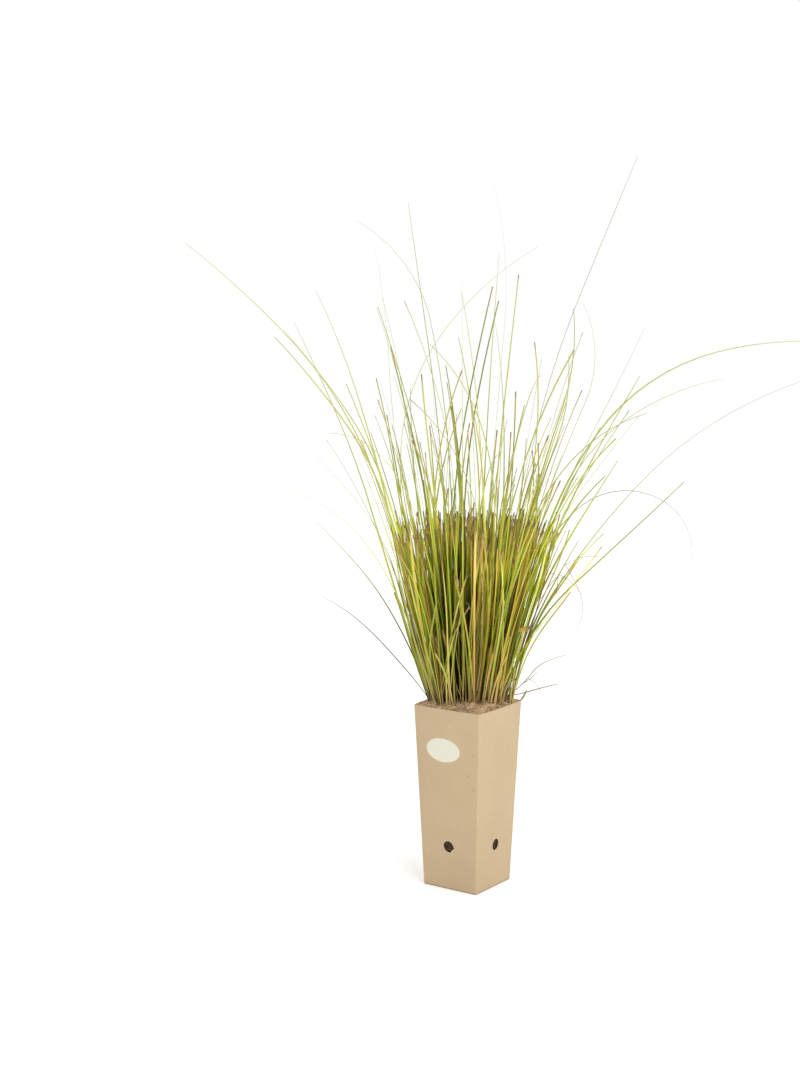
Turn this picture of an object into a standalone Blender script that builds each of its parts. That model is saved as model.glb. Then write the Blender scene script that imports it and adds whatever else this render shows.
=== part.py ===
"""A potted sedge: a trimmed tuft with long uncut blades, in a tapered square kraft-board pot.

Metres, +Z up. The origin is the middle of the pot's base, and the labelled wall faces -Y.
Bearings and headings are degrees from +X towards +Y, and leans are degrees from upright.
"""

import math
import random

import bmesh
import bpy
from mathutils import Matrix, Vector

MM = 0.001
GAP = 0.3 * MM            # left between pieces that touch

# The pot is a folded board sleeve, wider at the rim, with slightly bowed walls.
POT_HEIGHT = 200 * MM
RIM_SIDE = 84 * MM
BASE_SIDE = 68 * MM
BOARD = 1.2 * MM
WALL_BOW = 2 * MM       # how far a wall's middle stands out at the rim
FOLD_RADIUS = 1.6 * MM
WALL_CELLS = 6
HOLE_DIAMETER = 12.4 * MM
HOLE_HEIGHT = 48 * MM

# The label is an oval paper sticker on the -Y wall.
LABEL_WIDTH = 43 * MM
LABEL_HEIGHT = 26 * MM
LABEL_CENTRE = (-4 * MM, 155 * MM)
LABEL_THICKNESS = 0.2 * MM

# Soil fills the pot up to a layer of coconut fibre that ends level with the rim.
SOIL_TOP = 184 * MM
MULCH_TOP = 198 * MM
MULCH_LUMP = 3.2 * MM     # how far the fibre heaps up against the walls
MULCH_CELLS = 8

# The tuft is an oval clump, longest towards two corners of the pot, that spreads as it rises.
TUFT_CENTRE = (-3 * MM, 4 * MM)
TUFT_BEARING = 40
TUFT_STRETCH = (1.12, 0.88)   # along that bearing, and across it
TUFT_RADIUS = 34 * MM
TRIM_HEIGHT = 402 * MM
SPREAD = 1.9              # how many times its foot radius a stem moves out by the trim height
POCKET_DEPTH = 7 * MM     # how deep a foot is set in the fibre
SHEAF_SIDE = 8.8 * MM
SHEAF_FAN = 1.25          # the same as SPREAD, for the stems within one sheaf
STEMS_ACROSS = 3
STEM_INSET = 0.35 * MM    # how far a stem's sides stand in from its cell of the foot
STEM_STEPS = (0.4, 1.0)
STEM_TAPER = 0.15
STRAY = 2.2 * MM          # how far a stem may wander from its place by the trim height
CUT_UNEVEN = 9 * MM

# Sheaves of cut stems, as (radius from the tuft's centre in mm, bearing, cut height below the rest in mm).
# The one missing from the outer ring leaves the dark gap at the tuft's front.
SHEAVES = (
    (0, 0, 0),
    (15, 20, 0), (15, 92, 0), (15, 164, 0), (15, 236, 4), (15, 308, 6),
    (28.5, 12, 4), (28.5, 52, 0), (28.5, 92, 0), (28.5, 132, 0), (28.5, 172, 0),
    (28.5, 212, 8), (28.5, 246, 14), (28.5, 318, 16),
)

# Long blades, as (name, foot radius in mm, foot bearing, heading, swing, length in mm, five leans).
# A blade's quarters are arcs that turn from one lean to the next, and swing turns its heading on the way.
LONG_BLADES = (
    # right of the tuft, as seen from the front corner
    ("tall", 22, 34, 35, 0, 602, (7, 8, 13, 22, 22)),
    ("arch_high", 35, 29, 28, 14, 620, (12, 13, 35, 76, 100)),
    ("arch_mid", 34.5, 36, 40, 0, 452, (13, 14, 21, 55, 80)),
    ("arch_low", 36, 22, 30, 8, 568, (15, 32, 43, 64, 80)),
    ("sprawl_right", 36, 8, 30, 0, 314, (13, 30, 46, 46, 45)),
    ("short_right", 36, -8, 20, 0, 212, (14, 30, 38, 36, 35)),
    ("curl", 34, 72, 62, -26, 450, (15, 17, 48, 124, 218)),
    ("lean_right", 34.5, 42, 40, 0, 345, (14, 15, 20, 32, 35)),
    ("slant_right", 29, 31, 34, 0, 432, (12, 14, 23, 27, 24)),
    ("hook", 29, 72, 50, 0, 452, (11, 14, 22, 24, -30)),
    ("bow_right", 22, 57, 44, 0, 392, (9, 12, 11, 4, -8)),
    ("fan_right", 21.5, -24, 18, 0, 398, (6, 8, 12, 20, 30)),
    # middle of the tuft
    ("spire", 21.5, -4, 35, 0, 460, (2, 2, 4, 6, 6)),
    ("whip", 8, 56, 35, 0, 550, (2, 4, 5, 4, -14)),
    ("dark_spear", 21.5, 262, 35, 0, 450, (-4, 0, 5, 11, 13)),
    ("dark_spear_low", 21.5, 128, 35, 0, 434, (0, -3, 3, 10, 14)),
    ("back_sweep", 8, 200, 202, 14, 545, (3, 2, 4, 12, 60)),
    ("back_reed", 21.5, 143, 143, 66, 540, (10, 9, 7, 9, 8)),
    ("back_bend", 8.5, 150, 150, 50, 440, (5, 4, 5, 17, 25)),
    # left of the tuft
    ("drift_left", 28.5, 192, 215, 0, 494, (9, 11, 9, 3, 11)),
    ("crossing", 34.5, 231, 50, -30, 545, (-13, -9, 1, 36, 60)),
    ("reach_left", 28.5, 229, 226, -12, 574, (13, 14, 24, 43, 52)),
    ("sweep_left", 36, 223, 217, 0, 434, (17, 17, 16, 23, 26)),
    ("rise_left", 34.5, 196, 207, 0, 460, (13, 14, 13, 18, 26)),
    ("mid_left", 35, 182, 196, 0, 444, (13, 14, 17, 37, 44)),
    ("arch_left", 35.5, 246, 238, -16, 352, (18, 19, 32, 58, 86)),
    ("droop_left", 34, 206, 214, 0, 236, (22, 24, 31, 42, 43)),
    ("low_left", 35, 214, 216, 0, 166, (26, 40, 42, 50, 64)),
    # towards the back
    ("back_arch", 34, 104, 98, 16, 470, (15, 17, 32, 58, 88)),
    ("back_lean", 34, 76, 80, 0, 420, (14, 15, 18, 24, 30)),
    ("back_tall", 28.5, 112, 112, 0, 500, (12, 12, 13, 18, 24)),
    ("back_fall", 34, 119, 122, -12, 400, (18, 24, 42, 70, 98)),
    ("back_slant", 34, 150, 150, 0, 380, (15, 17, 22, 32, 40)),
    ("back_short", 37.5, 97, 100, 0, 240, (19, 28, 36, 42, 46)),
    # towards the front
    ("front_arch", 34, 272, 282, -12, 420, (14, 16, 28, 54, 86)),
    ("front_lean", 34, 284, 294, 0, 380, (14, 15, 20, 28, 34)),
    ("front_tall", 28.5, 296, 302, 0, 470, (11, 12, 13, 15, 20)),
    ("front_side", 35, 338, 334, 12, 430, (15, 17, 30, 52, 74)),
    ("front_short", 35, 306, 308, 0, 235, (18, 26, 32, 38, 42)),
    ("front_fall", 35, 259, 280, 10, 330, (18, 24, 44, 66, 92)),
)
FOOT_WIDTH = 2.6 * MM
TIP_WIDTH = 0.7 * MM
BLADE_SEGMENTS = 8        # and one more for each 15 degrees that the blade turns
TURN_PER_SEGMENT = 15

UP = Vector((0, 0, 1))
rng = random.Random(11)


def clear_scene():
    for thing in list(bpy.data.objects):
        bpy.data.objects.remove(thing, do_unlink=True)


def new_collection(name):
    collection = bpy.data.collections.new(name)
    bpy.context.scene.collection.children.link(collection)
    return collection


def material(name, colour, roughness):
    made = bpy.data.materials.new(name)
    made.use_nodes = True
    shader = made.node_tree.nodes["Principled BSDF"]
    shader.inputs["Base Color"].default_value = (*colour, 1)
    shader.inputs["Roughness"].default_value = roughness
    shader.inputs["Metallic"].default_value = 0
    return made


def add_object(name, data, collection, finish=None):
    """A new object at the origin, with its material."""
    thing = bpy.data.objects.new(name, data)
    collection.objects.link(thing)
    if finish:
        data.materials.append(finish)
    return thing


def mesh_from(name, bm):
    mesh = bpy.data.meshes.new(name)
    bmesh.ops.recalc_face_normals(bm, faces=bm.faces[:])
    bm.to_mesh(mesh)
    bm.free()
    return mesh


def half_side(height):
    """Half the pot's outside width at a height, measured at the corners."""
    return (BASE_SIDE + (RIM_SIDE - BASE_SIDE) * height / POT_HEIGHT) / 2


def bow(across, height):
    """How far a wall stands out beyond the line between its corners; across runs from -1 to 1."""
    return WALL_BOW * (1 - across ** 2) * (1 - (1 - height / POT_HEIGHT) ** 2)


def wall_depth(x, height):
    """How far the -Y wall's outer face is from the pot's axis."""
    return half_side(height) + bow(x / half_side(height), height)


def pot_point(across, along, height, inset=0):
    """A point of the pot's section at a height; across and along run from -1 to 1, wall to wall."""
    side = half_side(height) - inset
    return Vector((
        across * (side + bow(along, height)), along * (side + bow(across, height)), height,
    ))


def upright_corners(bm):
    return [
        edge for edge in bm.edges
        if all(abs(v.co.x) > 0.49 and abs(v.co.y) > 0.49 for v in edge.verts)
    ]


def make_pot(parts, cutters, finish):
    """An open box, tapered and bowed, folded at its corners and given the board's thickness."""
    bm = bmesh.new()
    bmesh.ops.create_cube(bm, size=1)
    top = [face for face in bm.faces if face.normal.z > 0.5]
    bmesh.ops.delete(bm, geom=top, context="FACES_ONLY")
    bmesh.ops.subdivide_edges(bm, edges=bm.edges[:], cuts=WALL_CELLS - 1, use_grid_fill=True)
    corners = upright_corners(bm)
    for vertex in bm.verts:
        x, y, z = vertex.co
        vertex.co = pot_point(2 * x, 2 * y, (z + 0.5) * POT_HEIGHT)
    bmesh.ops.bevel(bm, geom=corners, offset=FOLD_RADIUS, segments=2, profile=0.5, affect="EDGES")
    pot = add_object("pot", mesh_from("pot", bm), parts, finish)
    board = pot.modifiers.new("board", "SOLIDIFY")
    board.thickness = BOARD
    board.offset = -1
    board.use_even_offset = True
    for name, turn in (("holes_front_back", (math.pi / 2, 0, 0)), ("holes_sides", (0, math.pi / 2, 0))):
        drill = pot.modifiers.new(name, "BOOLEAN")
        drill.operation = "DIFFERENCE"
        drill.solver = "EXACT"
        drill.object = hole_cutter(name, turn, cutters)
    pot.data.shade_smooth()
    return pot


def hole_cutter(name, turn, cutters):
    """A round cutter through two facing walls."""
    bm = bmesh.new()
    bmesh.ops.create_cone(
        bm, cap_ends=True, segments=20, radius1=HOLE_DIAMETER / 2, radius2=HOLE_DIAMETER / 2,
        depth=2 * RIM_SIDE,
    )
    cutter = add_object(name, mesh_from(name, bm), cutters)
    cutter.location = (0, 0, HOLE_HEIGHT)
    cutter.rotation_euler = turn
    cutter.hide_render = True
    cutter.display_type = "WIRE"
    return cutter


def make_label(parts, finish):
    """An oval sheet laid on the bowed wall, then thickened."""
    bm = bmesh.new()
    bmesh.ops.create_circle(bm, cap_ends=True, cap_tris=True, segments=24, radius=1)
    spokes = [edge for edge in bm.edges if not edge.is_boundary]
    bmesh.ops.subdivide_edges(bm, edges=spokes, cuts=1)
    for vertex in bm.verts:
        x = LABEL_CENTRE[0] + vertex.co.x * LABEL_WIDTH / 2
        z = LABEL_CENTRE[1] + vertex.co.y * LABEL_HEIGHT / 2
        vertex.co = Vector((x, -wall_depth(x, z) - GAP - LABEL_THICKNESS, z))
    label = add_object("label", mesh_from("label", bm), parts, finish)
    sheet = label.modifiers.new("paper", "SOLIDIFY")
    sheet.thickness = LABEL_THICKNESS
    sheet.offset = -1
    return label


def block_in_pot(cells):
    """A unit cube whose level faces are divided into cells, so that its sides can follow the walls."""
    bm = bmesh.new()
    bmesh.ops.create_cube(bm, size=1)
    level = [edge for edge in bm.edges if abs(edge.verts[0].co.z - edge.verts[1].co.z) < 0.1]
    bmesh.ops.subdivide_edges(bm, edges=level, cuts=cells - 1, use_grid_fill=True)
    return bm


def make_soil(parts, finish):
    """A plug that fills the pot from its floor to the fibre."""
    bottom = BOARD + GAP
    bm = block_in_pot(WALL_CELLS)
    for way in (1, -1):
        end = [face for face in bm.faces if face.normal.z * way > 0.5]
        bmesh.ops.dissolve_faces(bm, faces=end)
    for vertex in bm.verts:
        x, y, z = vertex.co
        height = bottom + (z + 0.5) * (SOIL_TOP - bottom)
        vertex.co = pot_point(2 * x, 2 * y, height, BOARD + 3 * GAP)
    return add_object("soil", mesh_from("soil", bm), parts, finish)


def mulch_height(x, y):
    """Flat where the tuft stands, and gently heaped between it and the walls."""
    out = math.hypot(x - TUFT_CENTRE[0], y - TUFT_CENTRE[1])
    beyond = min(1, max(0, (out - TUFT_RADIUS - 5 * MM) / (8 * MM)))
    ripple = math.sin(x * 310 + 1) * math.cos(y * 270) + 0.5 * math.sin((x + y) * 520)
    return MULCH_TOP + MULCH_LUMP * beyond * (0.35 + 0.45 * ripple)


def make_mulch(parts, cutters, finish):
    """A pad of fibre with a lumpy top, and a pocket for the foot of each sheaf and blade."""
    bm = block_in_pot(MULCH_CELLS)
    bmesh.ops.dissolve_faces(bm, faces=[face for face in bm.faces if face.normal.z < -0.5])
    for vertex in bm.verts:
        x, y, z = vertex.co
        height = MULCH_TOP if z > 0 else SOIL_TOP + GAP
        vertex.co = pot_point(2 * x, 2 * y, height, BOARD + 3 * GAP)
        if z > 0:
            vertex.co.z = mulch_height(vertex.co.x, vertex.co.y)
    mulch = add_object("mulch", mesh_from("mulch", bm), parts, finish)
    pockets = mulch.modifiers.new("pockets", "BOOLEAN")
    pockets.operation = "DIFFERENCE"
    pockets.solver = "EXACT"
    pockets.use_self = True
    pockets.object = pocket_cutter(cutters)
    return mulch


def pocket_cutter(cutters):
    """One cutter with a square peg, a gap wider than each foot that is set in the fibre."""
    bm = bmesh.new()
    pegs = [(tuft_point(radius, bearing), SHEAF_SIDE, bearing) for radius, bearing, _ in SHEAVES]
    pegs += [(tuft_point(row[1], row[2]), FOOT_WIDTH, 0) for row in LONG_BLADES]
    for foot, side, turn in pegs:
        centre = Vector((foot.x, foot.y, MULCH_TOP - GAP))
        width = side + 2 * GAP
        place = Matrix.Translation(centre) @ Matrix.Rotation(math.radians(turn), 4, "Z")
        scale = Matrix.Diagonal((width, width, 2 * POCKET_DEPTH, 1))
        bmesh.ops.create_cube(bm, size=1, matrix=place @ scale)
    cutter = add_object("pocket_cutter", mesh_from("pocket_cutter", bm), cutters)
    cutter.hide_render = True
    cutter.display_type = "WIRE"
    return cutter


def tuft_point(radius_mm, bearing):
    """A foot's place in the oval tuft: its height is the bottom of its pocket."""
    angle = math.radians(bearing - TUFT_BEARING)
    along = radius_mm * MM * math.cos(angle) * TUFT_STRETCH[0]
    across = radius_mm * MM * math.sin(angle) * TUFT_STRETCH[1]
    turn = math.radians(TUFT_BEARING)
    return Vector((
        TUFT_CENTRE[0] + along * math.cos(turn) - across * math.sin(turn),
        TUFT_CENTRE[1] + along * math.sin(turn) + across * math.cos(turn),
        MULCH_TOP - POCKET_DEPTH,
    ))


def spread(point, centre, times, rise):
    """Where a point of a foot is after part of its rise: further from the centre, in proportion."""
    return Vector((
        centre.x + (point.x - centre.x) * (1 + times * rise),
        centre.y + (point.y - centre.y) * (1 + times * rise),
    ))


def make_sheaf(name, row, parts, finish):
    """A square foot whose top is a grid of cut stems, each drawn up and outwards on its own."""
    radius, bearing, lower = row
    foot = tuft_point(radius, bearing)
    tuft = Vector((TUFT_CENTRE[0], TUFT_CENTRE[1], 0))
    bm = bmesh.new()
    bmesh.ops.create_grid(bm, x_segments=STEMS_ACROSS, y_segments=STEMS_ACROSS, size=SHEAF_SIDE / 2)
    top = Matrix.Translation(foot + UP * (POCKET_DEPTH + GAP))
    bm.transform(top @ Matrix.Rotation(math.radians(bearing), 4, "Z"))
    bmesh.ops.solidify(bm, geom=bm.faces[:], thickness=POCKET_DEPTH)
    cells = [face for face in bm.faces if face.calc_center_median().z > MULCH_TOP and face.normal.z > 0.5]
    bmesh.ops.inset_individual(bm, faces=cells, thickness=STEM_INSET)
    for cell in cells:
        cut_height = TRIM_HEIGHT - lower * MM + rng.uniform(-1, 0.4) * CUT_UNEVEN
        draw_stem(bm, cell, foot, tuft, cut_height)
    return add_object(name, mesh_from(name, bm), parts, finish)


def draw_stem(bm, cell, foot, tuft, cut_height):
    """Draws one face up into a stem, in steps that follow the tuft's spread."""
    start = cell.calc_center_median()
    stray = Vector((rng.uniform(-1, 1), rng.uniform(-1, 1))) * STRAY
    full_rise = TRIM_HEIGHT - MULCH_TOP
    shape = [vertex.co - start for vertex in cell.verts]
    for step in STEM_STEPS:
        cell = bmesh.ops.extrude_discrete_faces(bm, faces=[cell])["faces"][0]
        height = start.z + (cut_height - start.z) * step
        rise = (height - MULCH_TOP) / full_rise
        sheaf = spread(foot, tuft, SPREAD, rise)
        own = Vector((start.x - foot.x, start.y - foot.y)) * (1 + SHEAF_FAN * rise)
        centre = sheaf + own + stray * rise
        for vertex, corner in zip(cell.verts, shape):
            vertex.co = Vector((centre.x, centre.y, height)) + corner * (1 - STEM_TAPER * step)


def blade_points(row):
    """A blade's middle line, from its foot in the fibre to its tip."""
    _, radius, bearing, heading, swing, length, leans = row
    turned = sum(abs(b - a) for a, b in zip(leans, leans[1:]))
    segments = BLADE_SEGMENTS + round(turned / TURN_PER_SEGMENT)
    foot = tuft_point(radius, bearing) + UP * GAP
    points = [foot, foot + UP * POCKET_DEPTH]
    for index in range(segments):
        done = (index + 0.5) / segments
        quarter = min(3, int(done * 4))
        lean = leans[quarter] + (leans[quarter + 1] - leans[quarter]) * (done * 4 - quarter)
        climb = UP * math.cos(math.radians(lean))
        facing = math.radians(heading + swing * done)
        out = Vector((math.cos(facing), math.sin(facing), 0))
        points.append(points[-1] + (out * math.sin(math.radians(lean)) + climb) * length * MM / segments)
    return points


def blade_section(cutters):
    """The keeled, three-sided section that every blade shares, one unit from its middle to a corner."""
    curve = bpy.data.curves.new("blade_section", "CURVE")
    curve.dimensions = "2D"
    outline = curve.splines.new("POLY")
    outline.points.add(2)
    for index, point in enumerate(outline.points):
        angle = math.radians(90 - 120 * index)
        point.co = (math.cos(angle), math.sin(angle), 0, 1)
    outline.use_cyclic_u = True
    section = add_object("blade_section", curve, cutters)
    section.hide_render = True
    section.display_type = "WIRE"
    return section


def make_blade(row, section, parts, finish):
    """A tapering curve with the blade's section swept along it."""
    points = blade_points(row)
    curve = bpy.data.curves.new("blade_" + row[0], "CURVE")
    curve.dimensions = "3D"
    curve.bevel_mode = "OBJECT"
    curve.bevel_object = section
    curve.use_fill_caps = True
    spline = curve.splines.new("POLY")
    spline.points.add(len(points) - 1)
    for index, (point, place) in enumerate(zip(spline.points, points)):
        done = index / (len(points) - 1)
        point.co = (*place, 1)
        point.radius = (FOOT_WIDTH + (TIP_WIDTH - FOOT_WIDTH) * done) / 2
    return add_object("blade_" + row[0], curve, parts, finish)


def main():
    clear_scene()
    parts = new_collection("potted_sedge")
    cutters = new_collection("cutters")
    kraft = material("kraft board", (0.60, 0.45, 0.28), 0.85)
    paper = material("label paper", (0.86, 0.83, 0.71), 0.6)
    peat = material("peat soil", (0.05, 0.03, 0.015), 0.95)
    fibre = material("coconut fibre", (0.43, 0.31, 0.20), 0.95)
    cut_green = material("cut sedge", (0.27, 0.33, 0.06), 0.6)
    blade_green = material("sedge blade", (0.36, 0.45, 0.10), 0.55)
    make_pot(parts, cutters, kraft)
    make_label(parts, paper)
    make_soil(parts, peat)
    make_mulch(parts, cutters, fibre)
    for number, row in enumerate(SHEAVES, 1):
        make_sheaf(f"sheaf_{number:02d}", row, parts, cut_green)
    section = blade_section(cutters)
    for row in LONG_BLADES:
        make_blade(row, section, parts, blade_green)


main()
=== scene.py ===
"""The looks of a potted sedge: a trimmed tuft with long uncut leaves, in a tall square pot of kraft board.

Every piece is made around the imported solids, in metres, with +Z up and the origin in the middle of the
pot's base. The labelled wall faces -Y. Bearings and headings are degrees from +X towards +Y, and leans are
degrees from upright.
"""

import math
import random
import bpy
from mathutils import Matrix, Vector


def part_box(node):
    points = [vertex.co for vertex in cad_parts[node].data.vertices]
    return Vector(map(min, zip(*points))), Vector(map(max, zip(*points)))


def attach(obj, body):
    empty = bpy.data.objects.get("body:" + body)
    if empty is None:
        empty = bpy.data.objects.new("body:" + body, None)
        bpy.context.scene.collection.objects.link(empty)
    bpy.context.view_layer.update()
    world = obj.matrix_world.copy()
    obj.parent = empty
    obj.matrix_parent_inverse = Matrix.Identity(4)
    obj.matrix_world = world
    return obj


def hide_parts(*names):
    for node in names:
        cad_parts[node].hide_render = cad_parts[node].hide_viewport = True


bl_info = {
    "name": "Potted sedge",
    "version": (1, 0, 0),
    "blender": (4, 5, 0),
    "location": "3D View > Sidebar > Sedge",
    "description": "Makes the board pot, the fibre, the cut stems and the long leaves of a potted sedge",
    "category": "Object",
}

import bmesh
import bpy
from bpy.props import FloatProperty, FloatVectorProperty, IntProperty, PointerProperty
from mathutils import Matrix, Vector, noise

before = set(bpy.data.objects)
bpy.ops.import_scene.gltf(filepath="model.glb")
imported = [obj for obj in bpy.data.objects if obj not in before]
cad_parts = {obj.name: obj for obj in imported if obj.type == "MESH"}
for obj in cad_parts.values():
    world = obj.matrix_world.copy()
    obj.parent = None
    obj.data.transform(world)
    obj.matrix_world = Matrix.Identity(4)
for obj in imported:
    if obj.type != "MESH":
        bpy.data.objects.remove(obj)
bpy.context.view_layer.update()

MM = 0.001
UP = Vector((0, 0, 1))
POT_TOP = 200 * MM
MULCH_LOW, MULCH_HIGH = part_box("mulch")
SOIL_LOW, SOIL_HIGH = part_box("soil")
LABEL_LOW, LABEL_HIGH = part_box("label")
LABEL_MIDDLE = (LABEL_LOW + LABEL_HIGH) / 2
LABEL_SIZE = LABEL_HIGH - LABEL_LOW

# The photograph's camera, and the soft light on its right.
CAMERA_PLACE = (1.1142, -1.6881, 0.6748)
CAMERA_TILT = 81.8
CAMERA_TURN = 35.5
KEY_PLACE = (2.0, -0.7, 1.5)
KEY_AIM = Vector((0, 0, 0.3))

# The pot's outline is drawn with this many steps along a wall, round a fold and up the wall.
WALL_STEPS = 20
FOLD_STEPS = 5
RISE_STEPS = 28
RIM_ROUNDING = 0.4 * MM
BASE_ROUNDING = 0.9 * MM
HOLE_SIDES = 56
# The ragged edge of a punched hole, as (angle seen from outside, how far it stands out, half its width).
TORN_EDGE = ((-3, 0.9 * MM, 15), (-38, -0.8 * MM, 15), (165, 0.25 * MM, 30))
CLEAN_EDGE = ((120, 0.2 * MM, 40), (-70, -0.2 * MM, 25))

# The peat stands this far off the board. The bed is a grid of this many cells a side.
PEAT_GAP = 1.3 * MM
PEAT_STEPS = 44
BED_CELLS = 110
# The bed's clumps as (waves in a metre, height in mm), and how far their middle lies under the solid's top.
BED_CLUMPS = ((95, 1.5), (260, 0.9), (700, 0.35))
BED_DROP_MM = 1.7
# The fibre is heaped round the tuft's foot. The heap rises over this width, from this far out.
HEAP_MM = 5.2
HEAP_EDGE = 41 * MM
HEAP_SLOPE = 15 * MM

# The tuft is an oval clump whose stems spread in proportion to their distance from its centre.
TUFT_CENTRE = Vector((-3 * MM, 4 * MM, 0))
TUFT_BEARING = 40
TUFT_STRETCH = (1.12, 0.88)
TUFT_RADIUS = 35 * MM
# The feet of the cut stems keep to this far from the centre, seen from the front corner.
TUFT_HALF_WIDTH = 27 * MM
# Where the feet of the cut stems and of the other leaves are, and where the stems are cut.
FOOT_HEIGHT = 194 * MM
LEAF_FOOT_HEIGHT = 191 * MM
TRIM_HEIGHT = 402 * MM
SPREAD = 1.9
CROWN_SHIFT = Vector((4.5, 3.2, 0)) * MM    # the cut crown stands a little to one side of its foot
# Sheaths in mm: the shortest, and how much longer they are in the tuft's middle, partly as painted shade.
SHEATH_MM = 58
INNER_SHEATH_AND_SHADE_MM = 80
# Seen from the front corner, a dark gap opens between the clumps to the left of the middle.
TO_RIGHT = Vector((math.cos(math.radians(CAMERA_TURN)), math.sin(math.radians(CAMERA_TURN)), 0))
TO_FRONT = Vector((TO_RIGHT.y, -TO_RIGHT.x, 0))
GAP_LEFT, GAP_RIGHT = -19 * MM, -5.5 * MM
GAP_BACK = -6 * MM
# Feet are in the gap's shade up to this far beside it, and this far before and behind the centre.
GAP_EDGE = 3 * MM
GAP_REACH = 22 * MM
# Where old stems close the gap, in mm to the front of the centre.
OLD_STEMS_BACK, OLD_STEMS_FRONT = -20, -7

# The heading of leaves whose table gives none: to the right in the photograph.
RIGHT_HEADING = 35

# How a swept leaf tapers, and how deep its folded section is for its width.
STEM_FORM = {"Taper from": 0.85, "Tip width": 0.8, "Keel depth": 0.5, "Flesh": 0.6}
LEAF_FORM = {"Taper from": 0.35, "Tip width": 0.2, "Keel depth": 0.45, "Flesh": 0.6}
YOUNG_FORM = {"Taper from": 0.6, "Tip width": 0.45, "Keel depth": 0.45, "Flesh": 0.6}
DRY_FORM = {"Taper from": 0.6, "Tip width": 0.5, "Keel depth": 0.8, "Flesh": 1.3}
# What the points of a leaf's path carry.
PATH_VALUES = ("half_width", "twist", "shade", "dry", "cut", "sheath", "low_light", "bright")

# Sheaves of cut stems, as (radius in mm, bearing, cut height below the rest in mm).
SHEAVES = (
    (0, 0, 0),
    (15, 20, 0), (15, 92, 0), (15, 164, 0), (15, 236, 4), (15, 308, 6),
    (28.5, 12, 4), (28.5, 52, 0), (28.5, 92, 0), (28.5, 132, 0), (28.5, 172, 0),
    (28.5, 212, 8), (28.5, 246, 14), (28.5, 318, 16),
)

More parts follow.
